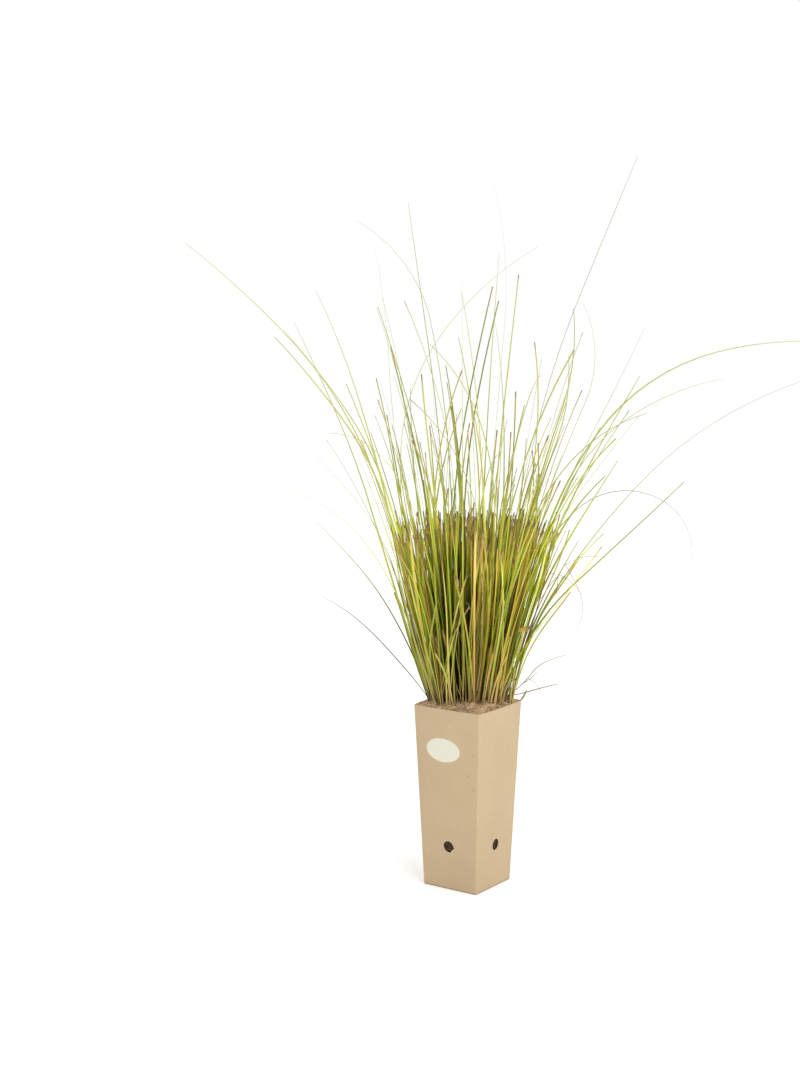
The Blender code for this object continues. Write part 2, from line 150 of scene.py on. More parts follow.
# A leaf is (foot radius in mm, foot bearing, heading, swing, length in mm, five leans), then its looks:
# (width in mm, shade from deep to yellow green, dryness, tip: 1 is brown and cut, 0 is fine and pale).
# A leaf's quarters are arcs that turn from one lean to the next, and swing turns its heading on the way.
LONG_LEAVES = {
    "tall": (22, 34, 35, 0, 602, (7, 8, 13, 22, 22), (2.4, 0.05, 0.1, 0)),
    "arch_high": (35, 29, 28, 14, 620, (12, 13, 35, 76, 100), (2.2, 0.5, 0, 0)),
    "arch_mid": (34.5, 36, 40, 0, 452, (13, 14, 21, 55, 80), (1.5, 0.5, 0, 0)),
    "arch_low": (36, 22, 30, 8, 568, (15, 32, 43, 64, 80), (2.2, 0.08, 0, 0)),
    "sprawl_right": (36, 8, 30, 0, 314, (13, 30, 46, 46, 45), (2.0, 0.2, 0, 1)),
    "short_right": (36, -8, 20, 0, 212, (14, 30, 38, 36, 35), (2.2, 0.5, 0.45, 1)),
    "curl": (34, 72, 62, -26, 450, (15, 17, 48, 124, 218), (1.1, 0.08, 1, 0)),
    "lean_right": (34.5, 42, 40, 0, 345, (14, 15, 20, 32, 35), (1.6, 0.4, 0, 1)),
    "slant_right": (29, 31, 34, 0, 432, (12, 14, 23, 27, 24), (1.6, 0.35, 0, 0)),
    "hook": (29, 72, 50, 0, 452, (11, 14, 22, 24, -30), (1.7, 0.6, 0, 0)),
    "bow_right": (22, 57, 44, 0, 392, (9, 12, 11, 4, -8), (1.7, 0.7, 0.1, 1)),
    "fan_right": (21.5, -24, 18, 0, 398, (6, 8, 12, 20, 30), (2.0, 0.55, 0, 1)),
    "spire": (21.5, -4, 35, 0, 460, (2, 2, 4, 6, 6), (1.7, 0.4, 0.1, 1)),
    "whip": (8, 56, 35, 0, 550, (2, 4, 5, 4, -14), (1.6, 0.8, 0.1, 0)),
    "dark_spear": (21.5, 262, 35, 0, 450, (-4, 0, 5, 11, 13), (1.8, 0.0, 0.1, 1)),
    "dark_spear_low": (21.5, 128, 35, 0, 434, (0, -3, 3, 10, 14), (1.8, 0.05, 0.1, 1)),
    "back_sweep": (8, 200, 202, 14, 545, (3, 2, 4, 12, 60), (1.8, 0.4, 0, 0)),
    "back_reed": (21.5, 143, 143, 66, 540, (10, 9, 7, 9, 8), (1.9, 0.35, 0, 0)),
    "back_bend": (8.5, 150, 150, 50, 440, (5, 4, 5, 17, 25), (1.7, 0.45, 0, 1)),
    "drift_left": (28.5, 192, 215, 0, 494, (9, 11, 9, 3, 11), (2.0, 0.55, 0, 0)),
    "crossing": (34.5, 231, 50, -30, 545, (-13, -9, 1, 36, 60), (1.5, 0.6, 0.1, 0)),
    "reach_left": (28.5, 229, 226, -12, 574, (13, 14, 24, 43, 52), (2.2, 0.85, 0, 0)),
    "sweep_left": (36, 223, 217, 0, 434, (17, 17, 16, 23, 26), (2.2, 0.8, 0, 0)),
    "rise_left": (34.5, 196, 207, 0, 460, (13, 14, 13, 18, 26), (2.0, 0.75, 0, 0)),
    "mid_left": (35, 182, 196, 0, 444, (13, 14, 17, 37, 44), (2.0, 0.7, 0, 0)),
    "arch_left": (35.5, 246, 238, -16, 352, (18, 19, 32, 58, 86), (2.2, 0.75, 0, 0)),
    "droop_left": (34, 206, 214, 0, 236, (22, 24, 31, 42, 43), (1.7, 0.3, 0.1, 0)),
    "low_left": (35, 214, 216, 0, 166, (33, 40, 42, 50, 64), (2.1, 0.12, 1, 0)),
    "back_arch": (34, 104, 98, 16, 470, (15, 17, 32, 58, 88), (2.4, 0.6, 0, 0)),
    "back_lean": (34, 76, 80, 0, 420, (14, 15, 18, 24, 30), (1.9, 0.3, 0, 1)),
    "back_tall": (28.5, 112, 112, 0, 500, (12, 12, 13, 18, 24), (1.9, 0.5, 0, 0)),
    "back_fall": (34, 119, 122, -12, 400, (18, 24, 42, 70, 98), (2.2, 0.4, 0.1, 0)),
    "back_slant": (34, 150, 150, 0, 380, (15, 17, 22, 32, 40), (1.9, 0.7, 0, 0)),
    "back_short": (37.5, 97, 100, 0, 240, (19, 28, 36, 42, 46), (1.8, 0.4, 0.4, 1)),
    "front_arch": (34, 272, 282, -12, 420, (14, 16, 28, 54, 86), (2.2, 0.7, 0, 0)),
    "front_lean": (34, 284, 294, 0, 380, (14, 15, 20, 28, 34), (1.9, 0.45, 0, 0)),
    "front_tall": (28.5, 296, 302, 0, 470, (11, 12, 13, 15, 20), (1.9, 0.6, 0, 0)),
    "front_side": (35, 338, 334, 12, 430, (15, 17, 30, 52, 74), (2.2, 0.35, 0, 0)),
    "front_short": (35, 306, 308, 0, 235, (18, 26, 32, 38, 42), (1.8, 0.5, 0.2, 1)),
    "front_fall": (35, 259, 280, 10, 330, (18, 24, 44, 66, 92), (2.0, 0.55, 0, 0)),
}

# Young leaves that stand in the crown. The tables from here on leave out heading and swing: these leaves
# head to the right as seen from the front corner, so a negative lean goes left.
YOUNG_LEAVES = (
    # the left fan
    (24, 205, 433, (-4, -4, -6, -16, -19), (1.7, 0.6, 0, 0)),
    (26, 250, 433, (-5, -6, -9, -12, -20), (1.7, 0.7, 0, 0)),
    (31, 224, 439, (-5, -5, -6, -9, -15), (1.9, 0.5, 0, 0)),
    (32, 232, 437, (-10, -14, -17, -36, -43), (1.8, 0.85, 0, 0)),
    (30, 210, 356, (-12, -11, -9, -9, -14), (1.7, 0.4, 0.1, 1)),
    (28, 190, 350, (-9, -9, -10, -11, -18), (1.7, 0.65, 0, 0)),
    (27, 244, 363, (-5, -4, -1, 9, 21), (1.7, 0.45, 0.2, 1)),
    (22, 262, 357, (-4, -4, -6, -7, -5), (1.8, 0.7, 0, 1)),
    (29, 236, 282, (-8, -8, -9, -11, -9), (1.8, 0.5, 0.3, 1)),
    (27, 218, 306, (-5, -5, -6, -8, -15), (1.7, 0.7, 0, 1)),
    (20, 252, 311, (-4, -3, -2, 1, 9), (1.7, 0.5, 0.3, 1)),
    (19, 196, 301, (-4, -4, -4, -4, -5), (1.8, 0.75, 0, 1)),
    (24, 270, 270, (-3, -3, -3, 0, 4), (1.7, 0.55, 0, 1)),
    # the middle
    (16, 20, 442, (0, 0, -2, -6, -11), (1.7, 0.8, 0.1, 0)),
    (26, 330, 406, (6, 5, 1, -18, -47), (1.5, 0.7, 0.1, 0)),
    (25, 350, 418, (6, 5, 2, -2, -10), (2.2, 0.85, 0, 0)),
    (14, 300, 340, (3, 3, 2, -3, -4), (1.8, 0.6, 0.1, 1)),
    (10, 280, 296, (3, 3, 2, -2, -4), (1.8, 0.7, 0, 1)),
    (12, 240, 229, (-2, -2, -1, 1, 2), (2.0, 0.1, 0.1, 1)),
    (21, 0, 244, (3, 3, 3, 3, 3), (1.9, 0.2, 0.2, 1)),
    (20, 325, 215, (3, 3, 3, 2, 1), (2.0, 0.3, 0.5, 1)),
    (22, 10, 295, (5, 5, 4, 4, 3), (1.7, 0.15, 0.4, 1)),
    (27, 344, 339, (7, 7, 6, 3, 1), (1.8, 0.1, 0.1, 1)),
    # the right fan
    (24, 60, 433, (9, 11, 15, 18, -6), (1.7, 0.65, 0.1, 0)),
    (23, 10, 311, (7, 10, 13, 20, 22), (1.8, 0.1, 0.1, 1)),
    (24, 340, 300, (9, 10, 11, 16, 22), (1.9, 0.6, 0, 1)),
    (26, 30, 339, (9, 9, 12, 17, 17), (1.9, 0.75, 0, 0)),
    (34, 46, 317, (11, 12, 19, 25, 28), (1.7, 0.6, 0, 0)),
    (34, 24, 382, (13, 16, 22, 28, 30), (1.7, 0.5, 0, 0)),
    (27, 350, 349, (8, 9, 13, 18, 20), (1.9, 0.85, 0, 0)),
    (33, 12, 348, (12, 14, 24, 36, 39), (1.8, 0.7, 0, 0)),
    (30, 356, 248, (12, 12, 15, 18, 17), (1.9, 0.3, 0.2, 1)),
)

# Cut stems that stand apart from the crown.
STRAY_STEMS = (
    (36.4, 223, 206, (-15, -14, -12, -13, -13), (1.5, 0.3, 0.2, 1)),
    (36.1, 221, 199, (-13, -13, -12, -13, -10), (1.6, 0.2, 0.3, 1)),
    (34.6, 226, 202, (-12, -12, -12, -9, -9), (1.6, 0.4, 0.4, 1)),
    (35.5, 225, 189, (-14, -14, -12, -12, -12), (1.8, 0.1, 0.6, 1)),
    (36.7, 219, 176, (-15, -15, -14, -15, -20), (2.2, 0.15, 0.3, 1)),
    (42, 27, 200, (7, 13, 24, 23, 15), (1.9, 0.25, 0.5, 1)),
    (42, 23, 198, (7, 12, 19, 20, 26), (1.9, 0.5, 0.4, 1)),
    (42.7, 29, 192, (9, 14, 24, 28, 30), (1.9, 0.3, 0.2, 1)),
    (43.5, 25, 213, (9, 16, 27, 38, 47), (1.9, 0.6, 0.1, 1)),
    (41.2, 21, 194, (8, 13, 18, 18, 14), (1.9, 0.5, 0.4, 1)),
    (42.7, 32, 177, (9, 15, 26, 35, 31), (1.9, 0.5, 0.3, 1)),
)

# Leaves and dry stalks on the tuft's front. They also lean out with it, towards the front corner.
FRONT_LEAN = 0.33
FRONT_LEAVES = (
    (35.1, 315, 201, (-1, -1, -1, 0, 0), (2.7, 0.8, 0.9, 1)),
    (34.4, 249, 153, (9, 9, 9, 12, 17), (1.7, 0.9, 0.4, 1)),
    (34.4, 276, 175, (-3, -3, -2, -5, -7), (2.0, 0.9, 0.3, 1)),
    (35.6, 4, 177, (2, 1, 0, -3, -7), (1.9, 0.85, 0, 1)),
    (35.6, 337, 182, (2, 2, 3, 2, 0), (1.7, 0.6, 0.7, 1)),
    (35.7, 352, 176, (6, 7, 10, 17, 18), (2.2, 0.45, 1, 1)),
    (35.6, 4, 163, (6, 6, 12, 15, 13), (2.3, 0.6, 0.9, 1)),
    (35.7, 350, 167, (7, 7, 11, 9, 9), (2.1, 0.55, 0.7, 1)),
    (34.4, 256, 121, (8, 8, 6, 23, 30), (1.3, 0.75, 1, 0)),
    (35.3, 321, 146, (3, 4, 6, 4, 1), (2.6, 0.35, 0, 1)),
    (35.2, 317, 155, (-6, -6, -8, -12, -16), (1.9, 0.7, 0.5, 1)),
    (34.8, 300, 71, (-7, -7, -10, -10, -7), (1.3, 0.6, 1, 0)),
    (34.5, 239, 122, (-7, -6, -2, 9, 9), (1.7, 0.95, 0, 0)),
    (34.3, 261, 166, (-4, -4, -4, -3, -3), (2.3, 0.6, 0.1, 1)),
    (34.7, 296, 146, (3, 1, -2, -4, -4), (1.9, 0.8, 0.5, 1)),
    (35.6, 337, 125, (6, 6, 9, 6, 6), (1.7, 0.95, 0.2, 0)),
    (34.4, 270, 88, (-3, -2, 4, 11, 15), (1.6, 1.0, 0, 0)),
    (35.4, 326, 147, (7, 7, 8, 10, 9), (2.1, 0.4, 0.1, 1)),
    (34.4, 254, 155, (-12, -12, -14, -13, -11), (1.9, 0.85, 0, 1)),
    (35, 218, 159, (-14, -14, -14, -13, -12), (1.7, 0.75, 0, 0)),
    (40.8, 34, 112, (2, 3, 5, 10, 14), (1.7, 0.8, 0, 0)),
    (40.1, 34, 87, (1, 1, 6, 13, 17), (1.4, 0.9, 0.1, 0)),
    (36.5, 214, 96, (-12, -12, -15, -17, -17), (1.3, 0.3, 1, 0)),
    (34.5, 239, 201, (-9, -9, -9, -7, -3), (2.6, 0.7, 0.3, 1)),
    (34.4, 274, 117, (3, 3, 6, 8, 10), (1.4, 1.0, 0.4, 0)),
    (35.4, 329, 71, (7, 7, 8, 9, 12), (1.7, 0.8, 1, 1)),
    (35, 309, 154, (-4, -5, -6, -8, -10), (2.1, 0.35, 0, 1)),
    (35.7, 352, 84, (4, 4, 10, 14, 15), (1.9, 0.8, 0.1, 0)),
    (35.6, 341, 66, (9, 10, 15, 21, 23), (1.9, 0.7, 0.8, 0)),
    (34.5, 282, 68, (-9, -10, -17, -24, -27), (2.1, 0.6, 0.2, 0)),
    (34.4, 256, 61, (-10, -10, -14, -16, -17), (1.7, 0.95, 0.2, 0)),
)

# Dry hair-thin leaves and twigs at the tuft's right, and a green shoot, each after its foot's height in mm.
DRY_STRAYS = (
    (200, 34.6, 28, 86, (42, 49, 35, 66, 75), (1.6, 0.1, 1, 0)),
    (219.3, 52.4, 29.9, 22, (57, 57, 51, 45, 44), (1.2, 0.1, 1, 0)),
    (204.8, 31, 27, 65, (79, 80, 73, 75, 79), (1.7, 0.12, 1, 0)),
    (283, 58.4, 0.6, 14, (66, 70, 76, 80, 84), (4.2, 0.2, 1, 1)),
    (351, 92.2, 31.3, 130, (149, 155, 195, 253, 354), (0.6, 0.05, 1, 0)),
    (341, 75.4, 28, 47, (90, 102, 129, 141, 141), (0.6, 0.1, 1, 0)),
    (349, 91.7, 31.4, 48, (60, 65, 80, 95, 100), (0.8, 0.05, 1, 0)),
    (337.5, 86.1, 31.3, 21, (-175, -175, -175, -176, -176), (0.7, 0.1, 1, 0)),
    (226.1, 57.9, 30.2, 28, (118, 125, 147, 168, 169), (0.7, 0.1, 1, 0)),
    (196.7, 49.4, 39.5, 17, (38, 37, 31, 25, 22), (2.0, 0.0, 0, 0)),
)


def linear(hex_colour):
    """An sRGB hex colour as linear red, green and blue."""
    values = [int(hex_colour[i:i + 2], 16) / 255 for i in (1, 3, 5)]
    return [v / 12.92 if v <= 0.04045 else ((v + 0.055) / 1.055) ** 2.4 for v in values]


def number_property(name, description, default, **more):
    return FloatProperty(name=name, description=description, default=default, min=0, **more)


def length_property(name, description, default_mm):
    return number_property(name, description, default_mm * MM, subtype="DISTANCE", unit="LENGTH",
                           precision=5)


def count_property(name, description, default):
    return IntProperty(name=name, description=description, default=default, min=0)


def colour_property(name, description, hex_colour):
    return FloatVectorProperty(name=name, description=description, default=linear(hex_colour), size=3,
                               min=0, max=1, subtype="COLOR")


class SedgePotSettings(bpy.types.PropertyGroup):
    rim_side: length_property("Rim side", "Width of the pot at its rim, corner to corner of a wall", 84)
    base_side: length_property("Base side", "Width of the pot at its base", 68)
    wall_bow: length_property("Wall bow", "How far the middle of a wall stands out at the rim", 2)
    board: length_property("Board", "Thickness of the board", 1.2)
    fold_radius: length_property("Fold radius", "Outside radius of the folded corners", 1.6)
    hole_diameter: length_property("Hole diameter", "Width of the punched holes", 12.8)
    hole_height: length_property("Hole height", "Height of the holes' centres above the base", 48)
    paper: length_property("Label thickness", "Thickness of the sticker's paper", 0.18)
    board_colour: colour_property("Board", "Main colour of the kraft board", "#BCA584")
    board_drift: colour_property("Board drift", "Pinker colour that the board drifts to", "#B7A07F")
    edge_colour: colour_property("Cut edge", "Paler board along punched edges", "#D3C2A0")
    paper_colour: colour_property("Paper", "Colour of the sticker", "#D4D1C0")


class SedgeBedSettings(bpy.types.PropertyGroup):
    fibre_density: number_property("Fibre density", "Fibres on a square metre of the bed", 420000)
    fibre_short: length_property("Shortest fibre", "Length of the shortest fibres", 5)
    fibre_long: length_property("Longest fibre", "Length of the longest fibres", 15)
    fibre_radius: length_property("Fibre radius", "Half the thickness of a fibre", 0.18)
    crumb_size: length_property("Crumb size", "Width of the peat's larger crumbs", 2.2)
    peat_colour: colour_property("Peat", "Main colour of the peat", "#36291A")
    root_colour: colour_property("Root", "Bright bits of root in the peat", "#8A6238")
    fibre_dark: colour_property("Dark fibre", "The darkest fibres", "#6A4F34")
    fibre_mid: colour_property("Fibre", "Most of the fibres", "#C0A27C")
    fibre_pale: colour_property("Pale fibre", "The palest, straw-like fibres", "#F0DDB8")


class SedgeTuftSettings(bpy.types.PropertyGroup):
    stems: count_property("Stems", "Cut stems in a sheaf", 34)
    stem_thin: length_property("Thin stem", "Width of the thinnest cut stems", 1.3)
    stem_thick: length_property("Thick stem", "Width of the broadest cut stems", 3.4)
    bases: count_property("Dead bases", "Short brown remnants inside the tuft", 190)
    # the gap bases are dark with painted shade
    gap_bases: count_property("Gap bases", "Old dark stems at the back of the tuft's gap", 34)
    wisps: count_property("Dry wisps", "Thin dry wisps round the tuft's foot", 70)
    threads: count_property("Threads", "Withered threads that peel off the stems", 85)
    young: count_property("Young leaves", "Thin leaves that grow through the crown", 48)
    seed: count_property("Seed", "Seed for all that is random in the tuft", 7)
    deep_green: colour_property("Deep green", "The deepest green of the leaves", "#5E6A16")
    leaf_green: colour_property("Leaf green", "The commonest green", "#929E24")
    yellow_green: colour_property("Yellow green", "The freshest, yellowest green", "#AEB44C")
    pale_green: colour_property("Pale green", "Leaves above the crown, with light behind them", "#B7B870")
    weathered: colour_property("Weathered", "Greyish brown of the oldest dry leaves", "#9A8472")
    dry_brown: colour_property("Dry brown", "The brown of the dry leaves", "#80602C")
    dry_gold: colour_property("Dry gold", "Most of the dry leaves", "#BC9132")
    dry_straw: colour_property("Dry straw", "The palest of the dry leaves", "#D2B274")
    faded_tip: colour_property("Faded tip", "Greyish straw that fine tips fade to", "#A39A76")
    # sheaths inside the tuft take the darkest colour as painted shade; some lit outer ones take the husk's
    sheath: colour_property("Sheath", "The darkest sheaths at the foot", "#4E3A1E")
    husk: colour_property("Husk", "The palest sheaths at the foot", "#B79A66")
    cut_band: colour_property("Cut band", "The golden band under a cut end", "#B4963C")
    cut_end: colour_property("Cut end", "The withered end of a cut leaf", "#755A38")


class SedgeStageSettings(bpy.types.PropertyGroup):
    floor_colour: colour_property("Floor", "Colour of the floor", "#FBFBFA")
    floor_glow: number_property("Floor glow", "Light that keeps the far floor white", 0.1)
    sky: number_property("Sky", "Strength of the even light all round", 1.0)
    key_power: number_property("Key light", "Power of the soft light on the right", 31, subtype="POWER",
                               unit="POWER")
    lens: number_property("Lens", "Focal length for a long side of 36 mm", 64.78,
                          subtype="DISTANCE_CAMERA", unit="CAMERA")


def clamp(value, low=0, high=1):
    return min(high, max(low, value))


def output_of(value):
    """A node's first output in use. Anything else is given back as it is."""
    if isinstance(value, bpy.types.Node):
        return next(socket for socket in value.outputs if socket.enabled)
    return value


def add(tree, kind, links=(), **settings):
    """Adds a node with its settings. Links are a list in the order of its inputs, or keyed by an input's
    name or number. Each is a plain value, a colour, an output, or a node whose first output is linked."""
    made = tree.nodes.new(kind)
    for key, value in settings.items():
        setattr(made, key, value)
    keyed = links if isinstance(links, dict) else dict(enumerate(links))
    for key, value in keyed.items():
        if isinstance(key, int):
            socket = made.inputs[key]
        else:
            socket = next(s for s in made.inputs if s.name == key and s.enabled)
        value = output_of(value)
        if isinstance(value, bpy.types.NodeSocket):
            tree.links.new(value, socket)
        elif socket.type == "RGBA":
            socket.default_value = (*value, 1)
        else:
            socket.default_value = value
    return made


def set_stops(ramp, *stops):
    """Gives a colour ramp its stops, as (place, colour)."""
    elements = ramp.color_ramp.elements
    while len(elements) < len(stops):
        elements.new(1)
    for element, (place, colour) in zip(elements, stops):
        element.position = place
        element.color = (*colour, 1)


def new_material(name, roughness, specular):
    """A material with its Principled shader, and the place of its patterns on the piece."""
    made = bpy.data.materials.new(name)
    made.use_nodes = True
    tree = made.node_tree
    shader = tree.nodes["Principled BSDF"]
    shader.inputs["Roughness"].default_value = roughness
    shader.inputs["Specular IOR Level"].default_value = specular
    return made, tree, add(tree, "ShaderNodeTexCoord").outputs["Object"]


def end_material(made, colour, relief, strength, depth):
    """Ends a material: its shader gets its colour, and one of its textures as fine relief."""
    tree = made.node_tree
    inputs = tree.nodes["Principled BSDF"].inputs
    bump = add(tree, "ShaderNodeBump", {"Strength": strength, "Distance": depth, "Height": relief})
    tree.links.new(output_of(colour), inputs["Base Color"])
    tree.links.new(output_of(bump), inputs["Normal"])
    return made


def kraft_board(pot):
    """Unbleached kraft board: matt and finely fibrous, so that it shows soft mottling, sparse flecks and a
    paler, fluffier edge where the holes are punched."""
    made, tree, place = new_material("kraft board", 0.86, 0.3)
    drift = add(tree, "ShaderNodeTexNoise", {"Vector": place, "Scale": 16, "Detail": 4})
    cloud = add(tree, "ShaderNodeMapRange", [drift, 0.36, 0.66])
    board = add(tree, "ShaderNodeMix", {0: cloud, 6: pot.board_colour, 7: pot.board_drift},
                data_type="RGBA")
    pulp = add(tree, "ShaderNodeTexNoise", {"Vector": place, "Scale": 800, "Detail": 4, "Roughness": 0.7})
    grain = add(tree, "ShaderNodeMapRange", [pulp, 0.3, 0.7, 0.93, 1.06])
    board = add(tree, "ShaderNodeVectorMath", [board, grain], operation="MULTIPLY")
    # flecks: a cell every 7 mm, and a dark or pale speck of under a millimetre in about a third of them
    cells = add(tree, "ShaderNodeTexVoronoi", {"Vector": place, "Scale": 145})
    chance = add(tree, "ShaderNodeSeparateColor", {"Color": cells.outputs["Color"]}).outputs
    size = add(tree, "ShaderNodeMapRange", [chance[0], 0.35, 1, 0, 0.17])
    ragged = add(tree, "ShaderNodeMath", [pulp, 0.05, cells.outputs["Distance"]],
                 operation="MULTIPLY_ADD")
    speck = add(tree, "ShaderNodeMath", [ragged, size], operation="LESS_THAN")
    tint = add(tree, "ShaderNodeMapRange", [chance[1], 0.5, 0.52, 0.72, 1.16])
    fleck = add(tree, "ShaderNodeMix", {0: speck, 2: 1.0, 3: tint}, data_type="FLOAT")
    board = add(tree, "ShaderNodeVectorMath", [board, fleck], operation="MULTIPLY")
    # punched edges: a pale ring round the nearest hole's axis, whichever wall it is in
    along = add(tree, "ShaderNodeSeparateXYZ", [place]).outputs
    height = add(tree, "ShaderNodeMath", [along["Z"], pot.hole_height], operation="SUBTRACT")
    rings = []
    for side in ("X", "Y"):
        flat = add(tree, "ShaderNodeCombineXYZ", [along[side], height])
        rings.append(add(tree, "ShaderNodeVectorMath", [flat], operation="LENGTH"))
    nearest = add(tree, "ShaderNodeMath", rings, operation="MINIMUM")
    hole = pot.hole_diameter / 2
    edge = add(tree, "ShaderNodeMapRange", [nearest, hole, hole + 0.8 * MM, 0.7, 0])
    board = add(tree, "ShaderNodeMix", {0: edge, 6: board, 7: pot.edge_colour}, data_type="RGBA")
    # painted shade: the board is a little darker towards its foot, and a painted contact shadow darkens the
    # fold that it stands on
    for start, end, dark in ((0, 150 * MM, 0.94), (0.4 * MM, 1.6 * MM, 0.42)):
        level = add(tree, "ShaderNodeMapRange", [along["Z"], start, end, dark, 1])
        board = add(tree, "ShaderNodeVectorMath", [board, level], operation="MULTIPLY")
    return end_material(made, board, pulp, 0.35, 0.25 * MM)


def label_paper(pot):
    """Uncoated ivory sticker paper: smoother than the board, with a faint tooth and a creamier rim."""
    made, tree, place = new_material("label paper", 0.55, 0.4)
    middle, size = LABEL_MIDDLE, LABEL_SIZE
    oval = add(tree, "ShaderNodeMapping", {
        "Vector": place, "Location": (-middle.x * 2 / size.x, 0, -middle.z * 2 / size.z),
        "Scale": (2 / size.x, 0, 2 / size.z)})
    out = add(tree, "ShaderNodeVectorMath", [oval], operation="LENGTH")
    rim = add(tree, "ShaderNodeMapRange", [out, 0.9, 0.99])
    creamy = [c * f for c, f in zip(pot.paper_colour, (1, 0.95, 0.8))]
    paper = add(tree, "ShaderNodeMix", {0: rim, 6: pot.paper_colour, 7: creamy}, data_type="RGBA")
    tooth = add(tree, "ShaderNodeTexNoise", {"Vector": place, "Scale": 1500, "Detail": 2})
    grey = add(tree, "ShaderNodeMapRange", [tooth, 0.3, 0.7, 0.97, 1.02])
    paper = add(tree, "ShaderNodeVectorMath", [paper, grey], operation="MULTIPLY")
    return end_material(made, paper, tooth, 0.15, 0.1 * MM)


def damp_peat(bed):
    """Damp peat: nearly black in its hollows with painted shade, with browner crumbs and a few bright bits
    of root.
    """
    made, tree, place = new_material("damp peat", 0.9, 0.35)
    crumbs = add(tree, "ShaderNodeTexNoise", {
        "Vector": place, "Scale": 420, "Detail": 6, "Roughness": 0.65})
    # painted shade: the low places of the crumbs' relief are painted darkest
    colour = add(tree, "ShaderNodeValToRGB", {"Fac": crumbs})
    peat = list(bed.peat_colour)
    set_stops(colour, (0.36, [c * 0.3 for c in peat]), (0.5, peat), (0.64, [c * 2.6 for c in peat]))
    bits = add(tree, "ShaderNodeTexVoronoi", {"Vector": place, "Scale": 500})
    bright = add(tree, "ShaderNodeMath", [bits.outputs["Distance"], 0.16], operation="LESS_THAN")
    amount = add(tree, "ShaderNodeMath", [bright, 0.5], operation="MULTIPLY")
    mixed = add(tree, "ShaderNodeMix", {0: amount, 6: colour, 7: bed.root_colour}, data_type="RGBA")
    return end_material(made, mixed, crumbs, 0.9, 0.6 * MM)


def coconut_fibre(bed):
    """Coconut fibre: matt, springy threads from dark husk brown to pale straw, each of one colour."""
    made, tree, place = new_material("coconut fibre", 0.8, 0.3)
    shade = add(tree, "ShaderNodeAttribute", attribute_name="shade").outputs["Fac"]
    patches = add(tree, "ShaderNodeTexNoise", {"Vector": place, "Scale": 130, "Detail": 4})
    spread = add(tree, "ShaderNodeMapRange", [patches, 0.3, 0.7, -0.3, 0.3])
    tone = add(tree, "ShaderNodeMath", [shade, spread], operation="ADD")
    colour = add(tree, "ShaderNodeValToRGB", {"Fac": tone})
    set_stops(colour, (0, bed.fibre_dark), (0.3, bed.fibre_mid), (0.7, bed.fibre_mid), (1, bed.fibre_pale))
    strands = add(tree, "ShaderNodeTexNoise", {"Vector": place, "Scale": 1400, "Detail": 3})
    return end_material(made, colour, strands, 0.5, 0.3 * MM)


